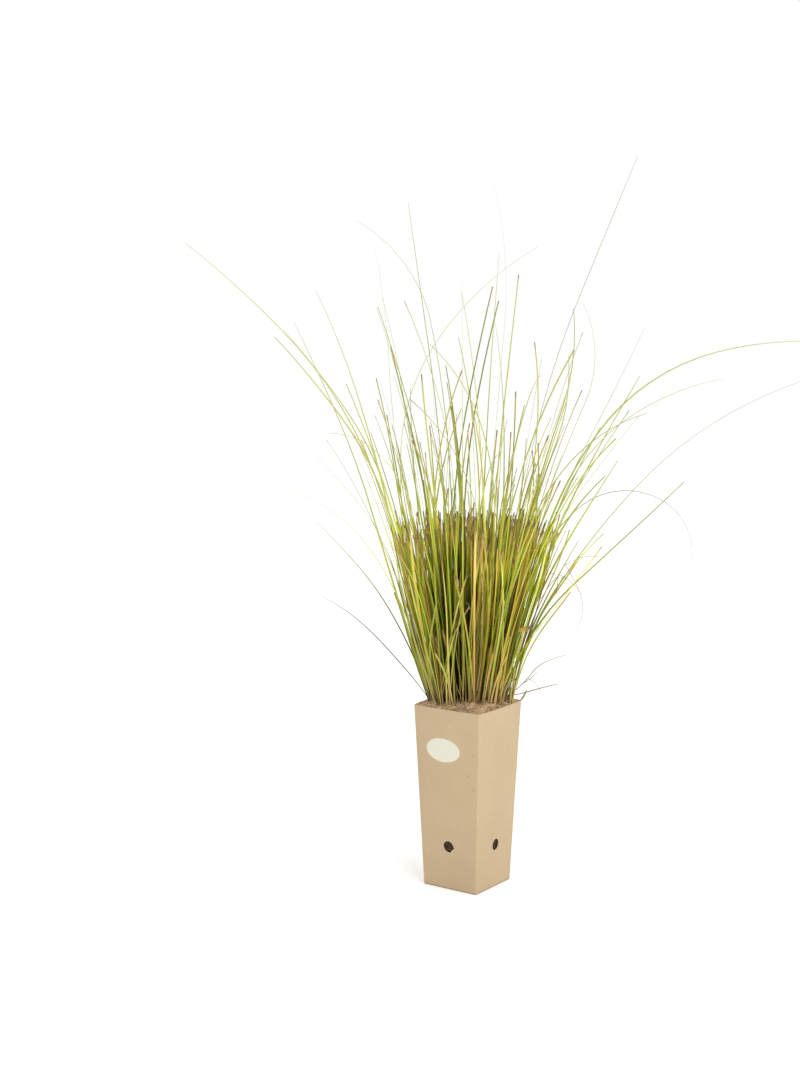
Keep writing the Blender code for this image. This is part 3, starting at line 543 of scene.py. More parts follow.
def sedge_leaf(tuft):
    """Sedge leaf: satin, finely veined along its length. Living leaves run from deep to yellow green, dry
    ones from brown to straw; feet are sheathed in brown, with painted shade low down and inside the tuft
    and painted light towards the crown, and cut ends wither to gold and dark brown."""
    made, tree, place = new_material("sedge leaf", 0.5, 0.1)
    reads = {name: add(tree, "ShaderNodeAttribute", attribute_name=name).outputs["Fac"]
             for name in (*PATH_VALUES[2:], "from_foot", "to_tip")}
    green = add(tree, "ShaderNodeValToRGB", {"Fac": reads["shade"]})
    set_stops(green, (0, tuft.deep_green), (0.5, tuft.leaf_green), (1, tuft.yellow_green))
    dried = add(tree, "ShaderNodeValToRGB", {"Fac": reads["shade"]})
    set_stops(dried, (0, tuft.weathered), (0.2, tuft.dry_brown), (0.6, tuft.dry_gold), (1, tuft.dry_straw))
    # a leaf dries in patches a few centimetres long
    lengthwise = add(tree, "ShaderNodeMapping", {"Vector": place, "Scale": (260, 260, 26)})
    patches = add(tree, "ShaderNodeTexNoise", {"Vector": lengthwise, "Scale": 1, "Detail": 2})
    uneven = add(tree, "ShaderNodeMapRange", [patches, 0.35, 0.65, -0.3, 0.3])
    dryness = add(tree, "ShaderNodeMath", [reads["dry"], uneven], operation="ADD", use_clamp=True)
    leaf = add(tree, "ShaderNodeMix", {0: dryness, 6: green, 7: dried}, data_type="RGBA")
    # veins about 0.5 mm apart
    fine = add(tree, "ShaderNodeMapping", {"Vector": place, "Scale": (1900, 1900, 30)})
    veins = add(tree, "ShaderNodeTexNoise", {"Vector": fine, "Scale": 1, "Detail": 2})
    level = add(tree, "ShaderNodeMapRange", [veins, 0.3, 0.7, 0.84, 1.14])
    leaf = add(tree, "ShaderNodeVectorMath", [leaf, level], operation="MULTIPLY")
    # brown sheaths, which reach higher inside the tuft and in its gap as painted shade, and pale husks on
    # some of the outer stems, whose sheaths are painted lighter than the shaded ones inside
    foot = add(tree, "ShaderNodeMapRange", [reads["from_foot"], 0, reads["sheath"], 0.95, 0],
               interpolation_type="SMOOTHSTEP")
    outer = add(tree, "ShaderNodeMapRange", [reads["low_light"], 0.6, 1.0])
    old = add(tree, "ShaderNodeMapRange", [reads["bright"], 0.86, 1.06, 0, outer])
    husk = add(tree, "ShaderNodeMix", {0: old, 6: tuft.sheath, 7: tuft.husk}, data_type="RGBA")
    leaf = add(tree, "ShaderNodeMix", {0: foot, 6: leaf, 7: husk}, data_type="RGBA")
    # painted shade low down, deepest inside the tuft, and painted light towards the crown, eased off above
    # it
    painted_shade_and_light = add(tree, "ShaderNodeMapRange", [
        reads["from_foot"], 90 * MM, 205 * MM, reads["low_light"], 1.7],
        interpolation_type="SMOOTHSTEP")
    above = add(tree, "ShaderNodeMapRange", [reads["from_foot"], 205 * MM, 260 * MM, 1.0, 0.65])
    for level in (painted_shade_and_light, above, reads["bright"]):
        leaf = add(tree, "ShaderNodeVectorMath", [leaf, level], operation="MULTIPLY")
    # the light shines through a leaf above the crown, which makes it paler
    thin = add(tree, "ShaderNodeMapRange", [reads["shade"], 0, 0.5, 0.2, 0.55])
    living = add(tree, "ShaderNodeMapRange", [dryness, 0, 1, thin, 0])
    lit = add(tree, "ShaderNodeMapRange", [reads["from_foot"], 165 * MM, 270 * MM, 0, living])
    leaf = add(tree, "ShaderNodeMix", {0: lit, 6: leaf, 7: tuft.pale_green}, data_type="RGBA")
    # cut ends: a golden band some 15 mm long and a dark withered end of 4 mm, both longer on some stems
    reach = add(tree, "ShaderNodeMapRange", [reads["cut"], 0.2, 1.0, 0.6, 1.6])
    withered = add(tree, "ShaderNodeMath", [reads["to_tip"], reach], operation="DIVIDE")
    some = add(tree, "ShaderNodeMapRange", [reads["cut"], 0.0, 0.6])
    # and fine tips, which fade to a greyish straw over their last 50 mm
    whole = add(tree, "ShaderNodeMath", [1.0, reads["cut"]], operation="SUBTRACT")
    for distance, start, end, most, share, colour in (
            (withered, 22 * MM, 7 * MM, 0.9, some, tuft.cut_band),
            (withered, 6 * MM, 3 * MM, 0.9, some, tuft.cut_end),
            (reads["to_tip"], 50 * MM, 0, 0.45, whole, tuft.faded_tip)):
        near = add(tree, "ShaderNodeMapRange", [distance, start, end, 0, most])
        amount = add(tree, "ShaderNodeMath", [near, share], operation="MULTIPLY")
        leaf = add(tree, "ShaderNodeMix", {0: amount, 6: leaf, 7: colour}, data_type="RGBA")
    return end_material(made, leaf, veins, 0.3, 0.1 * MM)


def new_tree(name, numbers, integers=()):
    """A geometry tree with a geometry in and out, the named numbers and a material."""
    tree = bpy.data.node_groups.new(name, "GeometryNodeTree")
    sockets = [("Geometry", "Geometry"), ("Material", "Material")]
    sockets += [(label, "Float") for label in numbers] + [(label, "Int") for label in integers]
    for label, kind in sockets:
        tree.interface.new_socket(label, in_out="INPUT", socket_type="NodeSocket" + kind)
    tree.interface.new_socket("Geometry", in_out="OUTPUT", socket_type="NodeSocketGeometry")
    return tree, add(tree, "NodeGroupInput").outputs


def end_tree(tree, given, geometry):
    """Ends a tree: its instances are made real and given the material."""
    real = add(tree, "GeometryNodeRealizeInstances", [geometry])
    smooth = add(tree, "GeometryNodeSetShadeSmooth", [real])
    dressed = add(tree, "GeometryNodeSetMaterial", {0: smooth, "Material": given["Material"]})
    add(tree, "NodeGroupOutput", [dressed])
    return tree


def leaf_tree():
    """Sweeps a keeled leaf along every path. A path's points carry half_width and twist, and the leaf's
    points get their distance from the foot and to the tip."""
    tree, given = new_tree("Leaves along paths", ("Taper from", "Tip width", "Keel depth", "Flesh"))
    paths = add(tree, "GeometryNodeMeshToCurve", {"Mesh": given["Geometry"]})
    along = add(tree, "GeometryNodeSplineParameter").outputs
    whole = add(tree, "GeometryNodeSplineLength").outputs["Length"]
    left = add(tree, "ShaderNodeMath", [whole, along["Length"]], operation="SUBTRACT")
    for name, value in (("from_foot", along["Length"]), ("to_tip", left)):
        paths = add(tree, "GeometryNodeStoreNamedAttribute", {
            "Geometry": paths, "Name": name, "Value": value}, data_type="FLOAT", domain="POINT")
    width, twist, cut = (
        add(tree, "GeometryNodeInputNamedAttribute", {"Name": name}, data_type="FLOAT")
        for name in ("half_width", "twist", "cut"))
    tip = add(tree, "ShaderNodeMapRange", [cut, 0.0, 0.2, given["Tip width"], 0.75])
    taper = add(tree, "ShaderNodeMapRange", [along["Factor"], given["Taper from"], 1.0, 1.0, tip])
    radius = add(tree, "ShaderNodeMath", [width, taper], operation="MULTIPLY")
    paths = add(tree, "GeometryNodeSetCurveTilt", {"Curve": paths, "Tilt": twist})
    keel = add(tree, "ShaderNodeMath", [0.0, given["Keel depth"]], operation="SUBTRACT")
    channel = add(tree, "ShaderNodeMath", [keel, given["Flesh"]], operation="ADD")
    section = add(tree, "GeometryNodeCurvePrimitiveQuadrilateral", {
        "Point 1": (-1, 0, 0), "Point 2": add(tree, "ShaderNodeCombineXYZ", {1: keel}),
        "Point 3": (1, 0, 0), "Point 4": add(tree, "ShaderNodeCombineXYZ", {1: channel})}, mode="POINTS")
    leaves = add(tree, "GeometryNodeCurveToMesh", {
        "Curve": paths, "Profile Curve": section, "Scale": radius, "Fill Caps": True})
    return end_tree(tree, given, leaves)


def strewn(tree, given, piece, turns, size, chosen=True):
    """Copies of a piece at random places on a surface, each with its own turn between two, made real."""
    spots = add(tree, "GeometryNodeDistributePointsOnFaces", {
        "Mesh": given["Geometry"], "Selection": chosen, "Density": given["Density"], "Seed": given["Seed"]})
    turn = add(tree, "FunctionNodeRandomValue", {
        "Min": turns[0], "Max": turns[1], "Seed": given["Seed"]}, data_type="FLOAT_VECTOR")
    copies = add(tree, "GeometryNodeInstanceOnPoints", {
        "Points": spots, "Instance": piece, "Rotation": turn, "Scale": size})
    return add(tree, "GeometryNodeRealizeInstances", [copies])


def roughened(tree, geometry, waves, middle, amount):
    """Pushes every point about by a noise of its place."""
    lumps = add(tree, "ShaderNodeTexNoise", {
        "Vector": add(tree, "GeometryNodeInputPosition"), "Scale": waves, "Detail": 1.0})
    centred = add(tree, "ShaderNodeVectorMath", [lumps.outputs["Color"], middle], operation="SUBTRACT")
    push = add(tree, "ShaderNodeVectorMath", {0: centred, "Scale": amount}, operation="SCALE")
    return add(tree, "GeometryNodeSetPosition", {"Geometry": geometry, "Offset": push})


def fibre_tree():
    """Strews curled fibres over the upward faces of a surface."""
    tree, given = new_tree(
        "Fibres on a bed", ("Density", "Shortest", "Longest", "Radius", "Lift", "Curl"), ("Seed",))
    normal = add(tree, "ShaderNodeSeparateXYZ", [add(tree, "GeometryNodeInputNormal")])
    upward = add(tree, "FunctionNodeCompare", [normal.outputs["Z"], 0.5], operation="GREATER_THAN")
    fibre = add(tree, "GeometryNodeCurveQuadraticBezier", {
        "Resolution": 6, "Start": (-0.5, 0, 0), "Middle": (0.05, 0.35, 0.12), "End": (0.5, 0, 0)})
    tilt = add(tree, "ShaderNodeCombineXYZ", [given["Lift"], given["Lift"], math.pi])
    back = add(tree, "ShaderNodeVectorMath", {0: tilt, "Scale": -1.0}, operation="SCALE")
    size = add(tree, "FunctionNodeRandomValue", {
        "Min": given["Shortest"], "Max": given["Longest"], "Seed": given["Seed"]}, data_type="FLOAT")
    bent = roughened(tree, strewn(tree, given, fibre, (back, tilt), size, upward), 160.0, (0.5, 0.5, 0.4),
                  given["Curl"])
    shade = add(tree, "FunctionNodeRandomValue", {
        "Min": 0.0, "Max": 1.0, "ID": add(tree, "GeometryNodeInputIndex"), "Seed": given["Seed"]},
        data_type="FLOAT")
    shaded = add(tree, "GeometryNodeStoreNamedAttribute", {
        "Geometry": bent, "Name": "shade", "Value": shade}, data_type="FLOAT", domain="CURVE")
    section = add(tree, "GeometryNodeCurvePrimitiveCircle", {"Resolution": 3, "Radius": 1.0})
    fibres = add(tree, "GeometryNodeCurveToMesh", {
        "Curve": shaded, "Profile Curve": section, "Scale": given["Radius"], "Fill Caps": True})
    return end_tree(tree, given, fibres)


def crumb_tree():
    """Packs uneven crumbs on a surface."""
    tree, given = new_tree("Crumbs on a face", ("Density", "Largest"), ("Seed",))
    crumb = add(tree, "GeometryNodeMeshIcoSphere", {"Radius": 0.5, "Subdivisions": 2})
    size = add(tree, "FunctionNodeRandomValue", {"Min": 0.3, "Max": 1.0, "Seed": given["Seed"]},
               data_type="FLOAT")
    wide = add(tree, "ShaderNodeMath", [size, given["Largest"]], operation="MULTIPLY")
    packed = strewn(tree, given, crumb, ((0, 0, 0), (6.3, 6.3, 6.3)), wide)
    return end_tree(tree, given, roughened(tree, packed, 900.0, (0.5, 0.5, 0.5), 1.1 * MM))


def new_object(name, mesh, finish=None):
    made = bpy.data.objects.new(name, mesh)
    bpy.context.scene.collection.objects.link(made)
    if finish:
        mesh.materials.append(finish)
    return made


def mesh_from(name, bm):
    mesh = bpy.data.meshes.new(name)
    bm.to_mesh(mesh)
    bm.free()
    return mesh


def settled(made):
    """Turns an object's live modifiers into a plain mesh, with its creases sharp."""
    graph = bpy.context.evaluated_depsgraph_get()
    mesh = bpy.data.meshes.new_from_object(
        made.evaluated_get(graph), preserve_all_data_layers=True, depsgraph=graph)
    made.modifiers.clear()
    made.data = mesh
    mesh.shade_smooth()
    mesh.set_sharp_from_angle(angle=math.radians(38))
    return made


def grown(made, tree, values):
    """Runs a geometry tree on an object and keeps the result as its plain mesh."""
    modifier = made.modifiers.new("grow", "NODES")
    modifier.node_group = tree
    for item in tree.interface.items_tree:
        if item.in_out == "INPUT" and item.name in values:
            modifier[item.identifier] = values[item.name]
    return settled(made)


def kept(made, slot, *nodes):
    """Fixes a finished piece to the one body and hides the solids it stands for. Its slot is not used."""
    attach(made, "root")
    if nodes:
        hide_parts(*nodes)
    return made


def half_side(pot, height):
    """Half the pot's outside width at a height, at its corners."""
    return (pot.base_side + (pot.rim_side - pot.base_side) * height / POT_TOP) / 2


def bow(pot, share, height):
    """How far a wall stands out at a share of its half width from its middle."""
    return pot.wall_bow * (1 - share ** 2) * (1 - (1 - height / POT_TOP) ** 2)


def pot_outline(pot, height, inset):
    """The pot's closed outline at a height, inset from its outside, with rounded folds."""
    half = half_side(pot, height) - inset
    fold = max(pot.fold_radius - inset, 0.35 * MM)
    reach = half - fold
    outline = []
    for wall in range(4):
        turn = Matrix.Rotation(wall * math.pi / 2, 3, "Z")
        for step in range(WALL_STEPS + 1):
            share = 2 * step / WALL_STEPS - 1
            outline.append(turn @ Vector((share * reach, -half - bow(pot, share, height), height)))
        for step in range(1, FOLD_STEPS):
            angle = (step / FOLD_STEPS - 1) * math.pi / 2
            corner = Vector((reach + fold * math.cos(angle), -reach + fold * math.sin(angle), height))
            outline.append(turn @ corner)
    return outline


def loft(outlines):
    """A closed skin over a row of closed outlines, capped at both ends."""
    bm = bmesh.new()
    rings = [[bm.verts.new(point) for point in outline] for outline in outlines]
    for low, high in zip(rings, rings[1:]):
        for index in range(len(low)):
            after = (index + 1) % len(low)
            bm.faces.new((low[index], low[after], high[after], high[index]))
    bm.faces.new(rings[0][::-1])
    bm.faces.new(rings[-1])
    return bm


def hole_punch(pot, wall, ragged):
    """A cutter through one wall, whose outline has the ragged places of a punched hole."""
    outline = []
    for index in range(HOLE_SIDES):
        angle = 360 * index / HOLE_SIDES
        radius = pot.hole_diameter / 2
        for centre, push, width in ragged:
            off = (angle - centre + 180) % 360 - 180
            radius += push * math.exp(-(off / width) ** 2)
        spot = math.radians(angle)
        outline.append((radius * math.cos(spot), radius * math.sin(spot)))
    depth = half_side(pot, pot.hole_height)
    turn = Matrix.Rotation(wall * math.pi / 2, 3, "Z")
    ends = [
        [turn @ Vector((x, -depth + way * 6 * MM, pot.hole_height + z)) for x, z in outline]
        for way in (-1, 1)
    ]
    bm = loft(ends)
    bmesh.ops.recalc_face_normals(bm, faces=bm.faces[:])
    return new_object(f"punch_{wall}", mesh_from("punch", bm))


def quarter(steps):
    """The cosine and sine at each step of a quarter turn."""
    angles = [step / steps * math.pi / 2 for step in range(steps + 1)]
    return [(math.cos(angle), math.sin(angle)) for angle in angles]


def make_pot_piece(pot):
    """The pot: outside up, over the rounded rim and down the inside, with four punched holes."""
    wall_top = POT_TOP - RIM_ROUNDING
    rings = [(BASE_ROUNDING * (1 - across), BASE_ROUNDING * (1 - up)) for across, up in quarter(4)]
    rings += [(wall_top * step / RISE_STEPS, 0) for step in range(1, RISE_STEPS + 1)]
    rim = [(wall_top + RIM_ROUNDING * up, RIM_ROUNDING * (1 - across)) for across, up in quarter(3)]
    rings += rim[1:]
    rings += [(height, pot.board - inset) for height, inset in reversed(rim)]
    rings += [(pot.board + (wall_top - pot.board) * (1 - step / RISE_STEPS), pot.board)
              for step in range(1, RISE_STEPS + 1)]
    bm = loft([pot_outline(pot, height, inset) for height, inset in rings])
    bmesh.ops.recalc_face_normals(bm, faces=bm.faces[:])
    made = new_object("board_pot", mesh_from("board_pot", bm), kraft_board(pot))
    punches = [hole_punch(pot, wall, TORN_EDGE if wall == 0 else CLEAN_EDGE) for wall in range(4)]
    for punch in punches:
        cut = made.modifiers.new(punch.name, "BOOLEAN")
        cut.operation = "DIFFERENCE"
        cut.solver = "EXACT"
        cut.object = punch
    settled(made)
    for punch in punches:
        bpy.data.objects.remove(punch)
    return made


def make_label_piece(pot):
    """The sticker: an oval sheet of paper pressed on the bowed wall."""
    bm = bmesh.new()
    bmesh.ops.create_circle(bm, cap_ends=True, cap_tris=True, segments=72, radius=1)
    spokes = [edge for edge in bm.edges if not edge.is_boundary]
    bmesh.ops.subdivide_edges(bm, edges=spokes, cuts=7)
    for vertex in bm.verts:
        x = LABEL_MIDDLE.x + vertex.co.x * LABEL_SIZE.x / 2
        z = LABEL_MIDDLE.z + vertex.co.y * LABEL_SIZE.z / 2
        depth = half_side(pot, z) + bow(pot, x / (half_side(pot, z) - pot.fold_radius), z)
        vertex.co = Vector((x, -depth - 0.04 * MM, z))
    bmesh.ops.recalc_face_normals(bm, faces=bm.faces[:])
    made = new_object("paper_label", mesh_from("paper_label", bm), label_paper(pot))
    sheet = made.modifiers.new("paper", "SOLIDIFY")
    sheet.thickness = pot.paper
    sheet.offset = 1
    return settled(made)


def make_peat_piece(pot, finish):
    """The peat: a plug that fills the pot, with an uneven side."""
    outlines = []
    for step in range(PEAT_STEPS + 1):
        height = SOIL_LOW.z + (SOIL_HIGH.z - SOIL_LOW.z) * step / PEAT_STEPS
        outline = pot_outline(pot, height, pot.board + PEAT_GAP)
        for point in outline:
            push = noise.noise(point * 260) * 0.5 * MM
            point += Vector((point.x, point.y, 0)).normalized() * push
        outlines.append(outline)
    return settled(new_object("peat_plug", mesh_from("peat_plug", loft(outlines)), finish))


def make_crumb_piece(pot, bed, finish):
    """Crumbs of peat packed behind the holes."""
    bm = bmesh.new()
    depth = half_side(pot, pot.hole_height) - pot.board - 1.1 * MM
    upright = Matrix.Translation((0, -depth, pot.hole_height)) @ Matrix.Rotation(math.pi / 2, 4, "X")
    for wall in range(4):
        bmesh.ops.create_circle(bm, cap_ends=True, segments=16, radius=pot.hole_diameter * 0.62,
                                matrix=Matrix.Rotation(wall * math.pi / 2, 4, "Z") @ upright)
    made = new_object("peat_crumbs", mesh_from("peat_crumbs", bm))
    return grown(made, crumb_tree(), {
        "Density": 620000.0, "Largest": bed.crumb_size, "Seed": 3, "Material": finish})


def bed_height(x, y):
    """The bed's height: clumpy, heaped up round the tuft's foot, and lower at the back right corner."""
    place = Vector((x, y, 0))
    clumps = sum(noise.noise(place * waves) * height for waves, height in BED_CLUMPS)
    low_corner = max(0, (x + y) / (70 * MM) - 0.35) * 2.0
    inwards = clamp((HEAP_EDGE - max(abs(x), abs(y))) / HEAP_SLOPE)
    heap = inwards * inwards * (3 - 2 * inwards) * (HEAP_MM + 0.04 * (x + y) / MM)
    return MULCH_HIGH.z + (clumps - BED_DROP_MM - low_corner + heap) * MM


def make_bed_piece(pot, finish):
    """The bed of coconut fibre: a clumpy pad that fills the pot's mouth."""
    bm = bmesh.new()
    bmesh.ops.create_grid(bm, x_segments=BED_CELLS, y_segments=BED_CELLS, size=1)
    half = half_side(pot, MULCH_HIGH.z) - pot.board - 0.3 * MM
    for vertex in bm.verts:
        across, along = vertex.co.x, vertex.co.y
        x = across * (half + bow(pot, along, MULCH_HIGH.z))
        y = along * (half + bow(pot, across, MULCH_HIGH.z))
        vertex.co = Vector((x, y, bed_height(x, y)))
    rim = [edge for edge in bm.edges if edge.is_boundary]
    skirt = bmesh.ops.extrude_edge_only(bm, edges=rim)["geom"]
    for vertex in skirt:
        if isinstance(vertex, bmesh.types.BMVert):
            vertex.co = Vector((vertex.co.x * 0.97, vertex.co.y * 0.97, MULCH_LOW.z))
    bmesh.ops.holes_fill(bm, edges=[edge for edge in bm.edges if edge.is_boundary], sides=0)
    bmesh.ops.recalc_face_normals(bm, faces=bm.faces[:])
    mesh = mesh_from("fibre_bed", bm)
    shade = mesh.attributes.new("shade", "FLOAT", "POINT")
    shade.data.foreach_set("value", [0.34] * len(mesh.vertices))
    return settled(new_object("fibre_bed", mesh, finish))


def make_fibre_piece(bed, surface, finish):
    """Loose coconut fibres on the bed."""
    made = new_object("loose_fibres", surface.data.copy())
    made.data.transform(Matrix.Diagonal((0.92, 0.92, 1, 1)))
    made.data.materials.clear()
    made.data.attributes.remove(made.data.attributes["shade"])
    return grown(made, fibre_tree(), {
        "Density": bed.fibre_density, "Shortest": bed.fibre_short, "Longest": bed.fibre_long,
        "Radius": bed.fibre_radius, "Lift": 0.22, "Curl": 7 * MM, "Seed": 5, "Material": finish})


def tuft_point(radius_mm, bearing, height=LEAF_FOOT_HEIGHT):
    """A place in the oval tuft."""
    angle = math.radians(bearing - TUFT_BEARING)
    along = radius_mm * MM * math.cos(angle) * TUFT_STRETCH[0]
    across = radius_mm * MM * math.sin(angle) * TUFT_STRETCH[1]
    place = Matrix.Rotation(math.radians(TUFT_BEARING), 3, "Z") @ Vector((along, across, 0))
    return TUFT_CENTRE + place + UP * height


def seen_place(foot):
    """How far a foot is to the right of the tuft's centre and in front of it, from the front corner."""
    place = foot - TUFT_CENTRE
    return place.dot(TO_RIGHT), place.dot(TO_FRONT)


def heading_from_centre(place):
    out = place - TUFT_CENTRE
    return math.degrees(math.atan2(out.y, out.x))


def spread_lean(distance):
    """The lean that the tuft's spread gives at a distance from its centre."""
    return math.degrees(math.atan(SPREAD * distance / (TRIM_HEIGHT - FOOT_HEIGHT)))


def leaf_path(foot, heading, swing, length_mm, leans, upright=7 * MM, forward=0):
    """A leaf's middle line, from its foot to its tip, with a point more for each 5 degrees that it turns.
    Forward is how far it comes towards the front corner for each length that it rises."""
    turned = sum(abs(b - a) for a, b in zip(leans, leans[1:]))
    segments = 14 + round(turned / 5)
    points = [foot, foot + UP * upright] if upright else [foot]
    for index in range(segments):
        done = (index + 0.5) / segments
        quarter_done = min(3, int(done * 4))
        start, end = leans[quarter_done:quarter_done + 2]
        lean = math.radians(start + (end - start) * (done * 4 - quarter_done))
        facing = math.radians(heading + swing * done)
        out = Vector((math.cos(facing), math.sin(facing), 0))
        step = out * math.sin(lean) + (UP + TO_FRONT * forward) * math.cos(lean)
        points.append(points[-1] + step * length_mm * MM / segments)
    return points


def with_headings(rows):
    """Rows that have no heading and swing, as leaves that head to the right."""
    return [(radius, bearing, RIGHT_HEADING, 0, *rest) for radius, bearing, *rest in rows]


def placed(leaf, height=LEAF_FOOT_HEIGHT, **bend):
    """A leaf of the tables as (points, looks)."""
    radius, bearing, heading, swing, length, leans, look = leaf
    return leaf_path(tuft_point(radius, bearing, height), heading, swing, length, leans, **bend), look


def paths_object(name, leaves, rng):
    """Open paths, as a mesh whose points carry each leaf's width, twist and colour. A leaf here is
    (points, (width in mm, shade, dryness, tip))."""
    points, edges = [], []
    values = {key: [] for key in PATH_VALUES}
    for path, (width, shade, dry, cut) in leaves:
        count = len(path)
        edges += [(i, i + 1) for i in range(len(points), len(points) + count - 1)]
        points += path
        start, turn = rng.uniform(0, 2 * math.pi), rng.uniform(-1.5, 1.5)
        values["twist"] += [start + turn * index / (count - 1) for index in range(count)]
        foot = path[0]
        side, front = seen_place(foot)
        # painted shade: feet in the gap, and feet nearer the tuft's centre, get longer dark sheaths and
        # less low_light
        if GAP_LEFT - GAP_EDGE < side < GAP_RIGHT + GAP_EDGE and abs(front) < GAP_REACH:
            depth = 1
        else:
            depth = max(0, 1 - (foot - TUFT_CENTRE).xy.length / TUFT_RADIUS)
        # what starts above the bed has no sheath of its own
        sheath = SHEATH_MM + INNER_SHEATH_AND_SHADE_MM * depth if foot.z < POT_TOP - 5 * MM else 2
        look = {"half_width": width * MM / 2, "shade": shade, "dry": dry, "cut": cut * rng.uniform(0.2, 1),
                "sheath": sheath * MM, "low_light": 1.1 - 0.84 * depth,
                "bright": rng.uniform(0.82, 1.12)}
        for key, value in look.items():
            values[key] += [value] * count
    mesh = bpy.data.meshes.new(name)
    mesh.from_pydata(points, edges, [])
    for key, row in values.items():
        mesh.attributes.new(key, "FLOAT", "POINT").data.foreach_set("value", row)
    return new_object(name, mesh)


def make_leaf_piece(name, leaves, rng, form, slot, *nodes):
    """One piece of leaves, from the path and the looks of each."""
    finish = bpy.data.materials.get("sedge leaf") or sedge_leaf(bpy.context.scene.sedge_tuft)
    tree = bpy.data.node_groups.get("Leaves along paths") or leaf_tree()
    return kept(grown(paths_object(name, leaves, rng), tree, {**form, "Material": finish}), slot, *nodes)


def out_of_gap(foot):
    """How far a foot in the gap moves sideways to leave it."""
    side, front = seen_place(foot)
    if front < GAP_BACK or not GAP_LEFT < side < GAP_RIGHT:
        return Vector((0, 0, 0))
    nearer = GAP_LEFT if side < (GAP_LEFT + GAP_RIGHT) / 2 else GAP_RIGHT
    return TO_RIGHT * (nearer - side)


def scatter(rng, spread_mm):
    return Vector((rng.gauss(0, spread_mm), rng.gauss(0, spread_mm), 0)) * MM


def cut_stem(rng, tuft, sheaf):
    """One cut stem of a sheaf. It follows the tuft's spread, some more upright than others, and some have
    withered to a shorter stub."""
    radius, bearing, lower = sheaf
    foot = tuft_point(radius, bearing, FOOT_HEIGHT)
    foot += scatter(rng, 3.4)
    # a foot past the tuft's sides comes half the way back
    side = seen_place(foot)[0]
    foot -= TO_RIGHT * (side - clamp(side, -TUFT_HALF_WIDTH, TUFT_HALF_WIDTH)) / 2
    top = TRIM_HEIGHT - lower * MM + rng.uniform(-10, 4) * MM
    if rng.random() < 0.25:
        top -= rng.uniform(10, 80) * MM
    rise = (top - FOOT_HEIGHT) / (TRIM_HEIGHT - FOOT_HEIGHT)
    out = Vector((foot.x, foot.y, 0)) - TUFT_CENTRE
    spread = (SPREAD - 0.1) * rng.triangular(0.45, 1.04, 0.88)
    stray = scatter(rng, 8)
    end = TUFT_CENTRE + out * (1 + spread * rise) + (CROWN_SHIFT + stray) * rise + UP * top
    sag = scatter(rng, 4.5)
    push = out_of_gap(foot)
    path = []
    for index in range(7):
        done = index / 6
        aside = push * max(0, 1 - (done / 0.45) ** 2)
        path.append(foot.lerp(end, done) + sag * 4 * done * (1 - done) + aside)
    # most are green, one in nine is dry and three are half dry; the tuft's inside is painted darker as
    # shade
    dry = rng.choice((0.95, 0.6, 0.5, 0.4, 0.15, 0.05, 0.05, 0, 0))
    shade = rng.betavariate(1.5, 1.5) * (0.6 if radius < 20 else 1)
    width = tuft.stem_thin + (tuft.stem_thick - tuft.stem_thin) * rng.betavariate(1.1, 2.2)
    return path, (width / MM, shade, dry, 1)


def dead_base(rng):
    """A short brown remnant of an old leaf, of the kind that fills the inside of the tuft."""
    foot = tuft_point(31 * math.sqrt(rng.random()), rng.uniform(0, 360))
    heading = heading_from_centre(foot) + rng.gauss(0, 40)
    lean = spread_lean((foot - TUFT_CENTRE).xy.length) + rng.gauss(0, 3)
    leans = [lean] * 3 + [lean + rng.gauss(0, 5)] * 2
    look = (rng.uniform(1.8, 3.2), rng.uniform(0, 0.35), 1, 1)
    return leaf_path(foot, heading, 0, rng.triangular(18, 125, 40), leans), look


def gap_base(rng):
    """An old stem at the back of the gap, dark with painted shade, where many stand so close that no light
    comes through.
    """
    side = rng.uniform(GAP_LEFT - GAP_EDGE, GAP_RIGHT + GAP_EDGE)
    front = rng.uniform(OLD_STEMS_BACK, OLD_STEMS_FRONT) * MM
    foot = TUFT_CENTRE + TO_RIGHT * side + TO_FRONT * front + UP * LEAF_FOOT_HEIGHT
    leans = [spread_lean(side) + rng.gauss(0, 1.5)] * 5
    look = (rng.uniform(1.8, 3.0), rng.uniform(0, 0.3), 1, 1)
    return leaf_path(foot, RIGHT_HEADING, 0, rng.uniform(70, 150), leans, forward=-0.1), look


def dry_wisp(rng):
    """A thin dry wisp that stands at any angle between the stems of the tuft's rim."""
    bearing = rng.uniform(0, 360)
    lean = rng.uniform(-22, 34)
    leans = [lean, lean, *(lean + rng.gauss(0, bend) for bend in (8, 16, 24))]
    look = (rng.uniform(0.7, 1.6), rng.uniform(0, 0.9), 1, 0)
    heading = bearing + rng.gauss(0, 50)
    foot = tuft_point(rng.uniform(31, 38), bearing)
    return leaf_path(foot, heading, 0, rng.triangular(12, 75, 22), leans), look


def thread(rng, stem):
    """A withered thread that peels off a cut stem and curls away from it."""
    place = stem[rng.randint(2, 5)].lerp(stem[-1], rng.random() * 0.3)
    heading = heading_from_centre(place) + rng.gauss(0, 55)
    lean = rng.uniform(5, 60)
    leans = [lean + rng.gauss(0, 12) + turn for turn in (0, 0, 10, 25, 60)]
    look = (rng.uniform(0.5, 1.1), rng.uniform(0.3, 1), 1, 0)
    swing = rng.uniform(-60, 60)
    return leaf_path(place, heading, swing, rng.triangular(10, 45, 18), leans, upright=0), look


def sibling(rng, leaf, apart=10, shortest=235):
    """A shorter leaf from the same shoot as another, a few degrees apart."""
    radius, bearing, heading, swing, length, leans, (width, shade, dry, _) = leaf
    turned = rng.gauss(0, 2.5)
    leans = [lean + turned + rng.gauss(0, 1.5) for lean in leans]
    length = max(shortest, length * rng.uniform(0.68, 0.94))
    width *= rng.uniform(0.85, 1.3)
    look = (width, clamp(shade + rng.gauss(0, 0.25)), dry, rng.choice((0, 1)))
    heading += rng.gauss(0, 2 * apart)
    return placed((radius, bearing + rng.gauss(0, apart), heading, swing, length, leans, look))


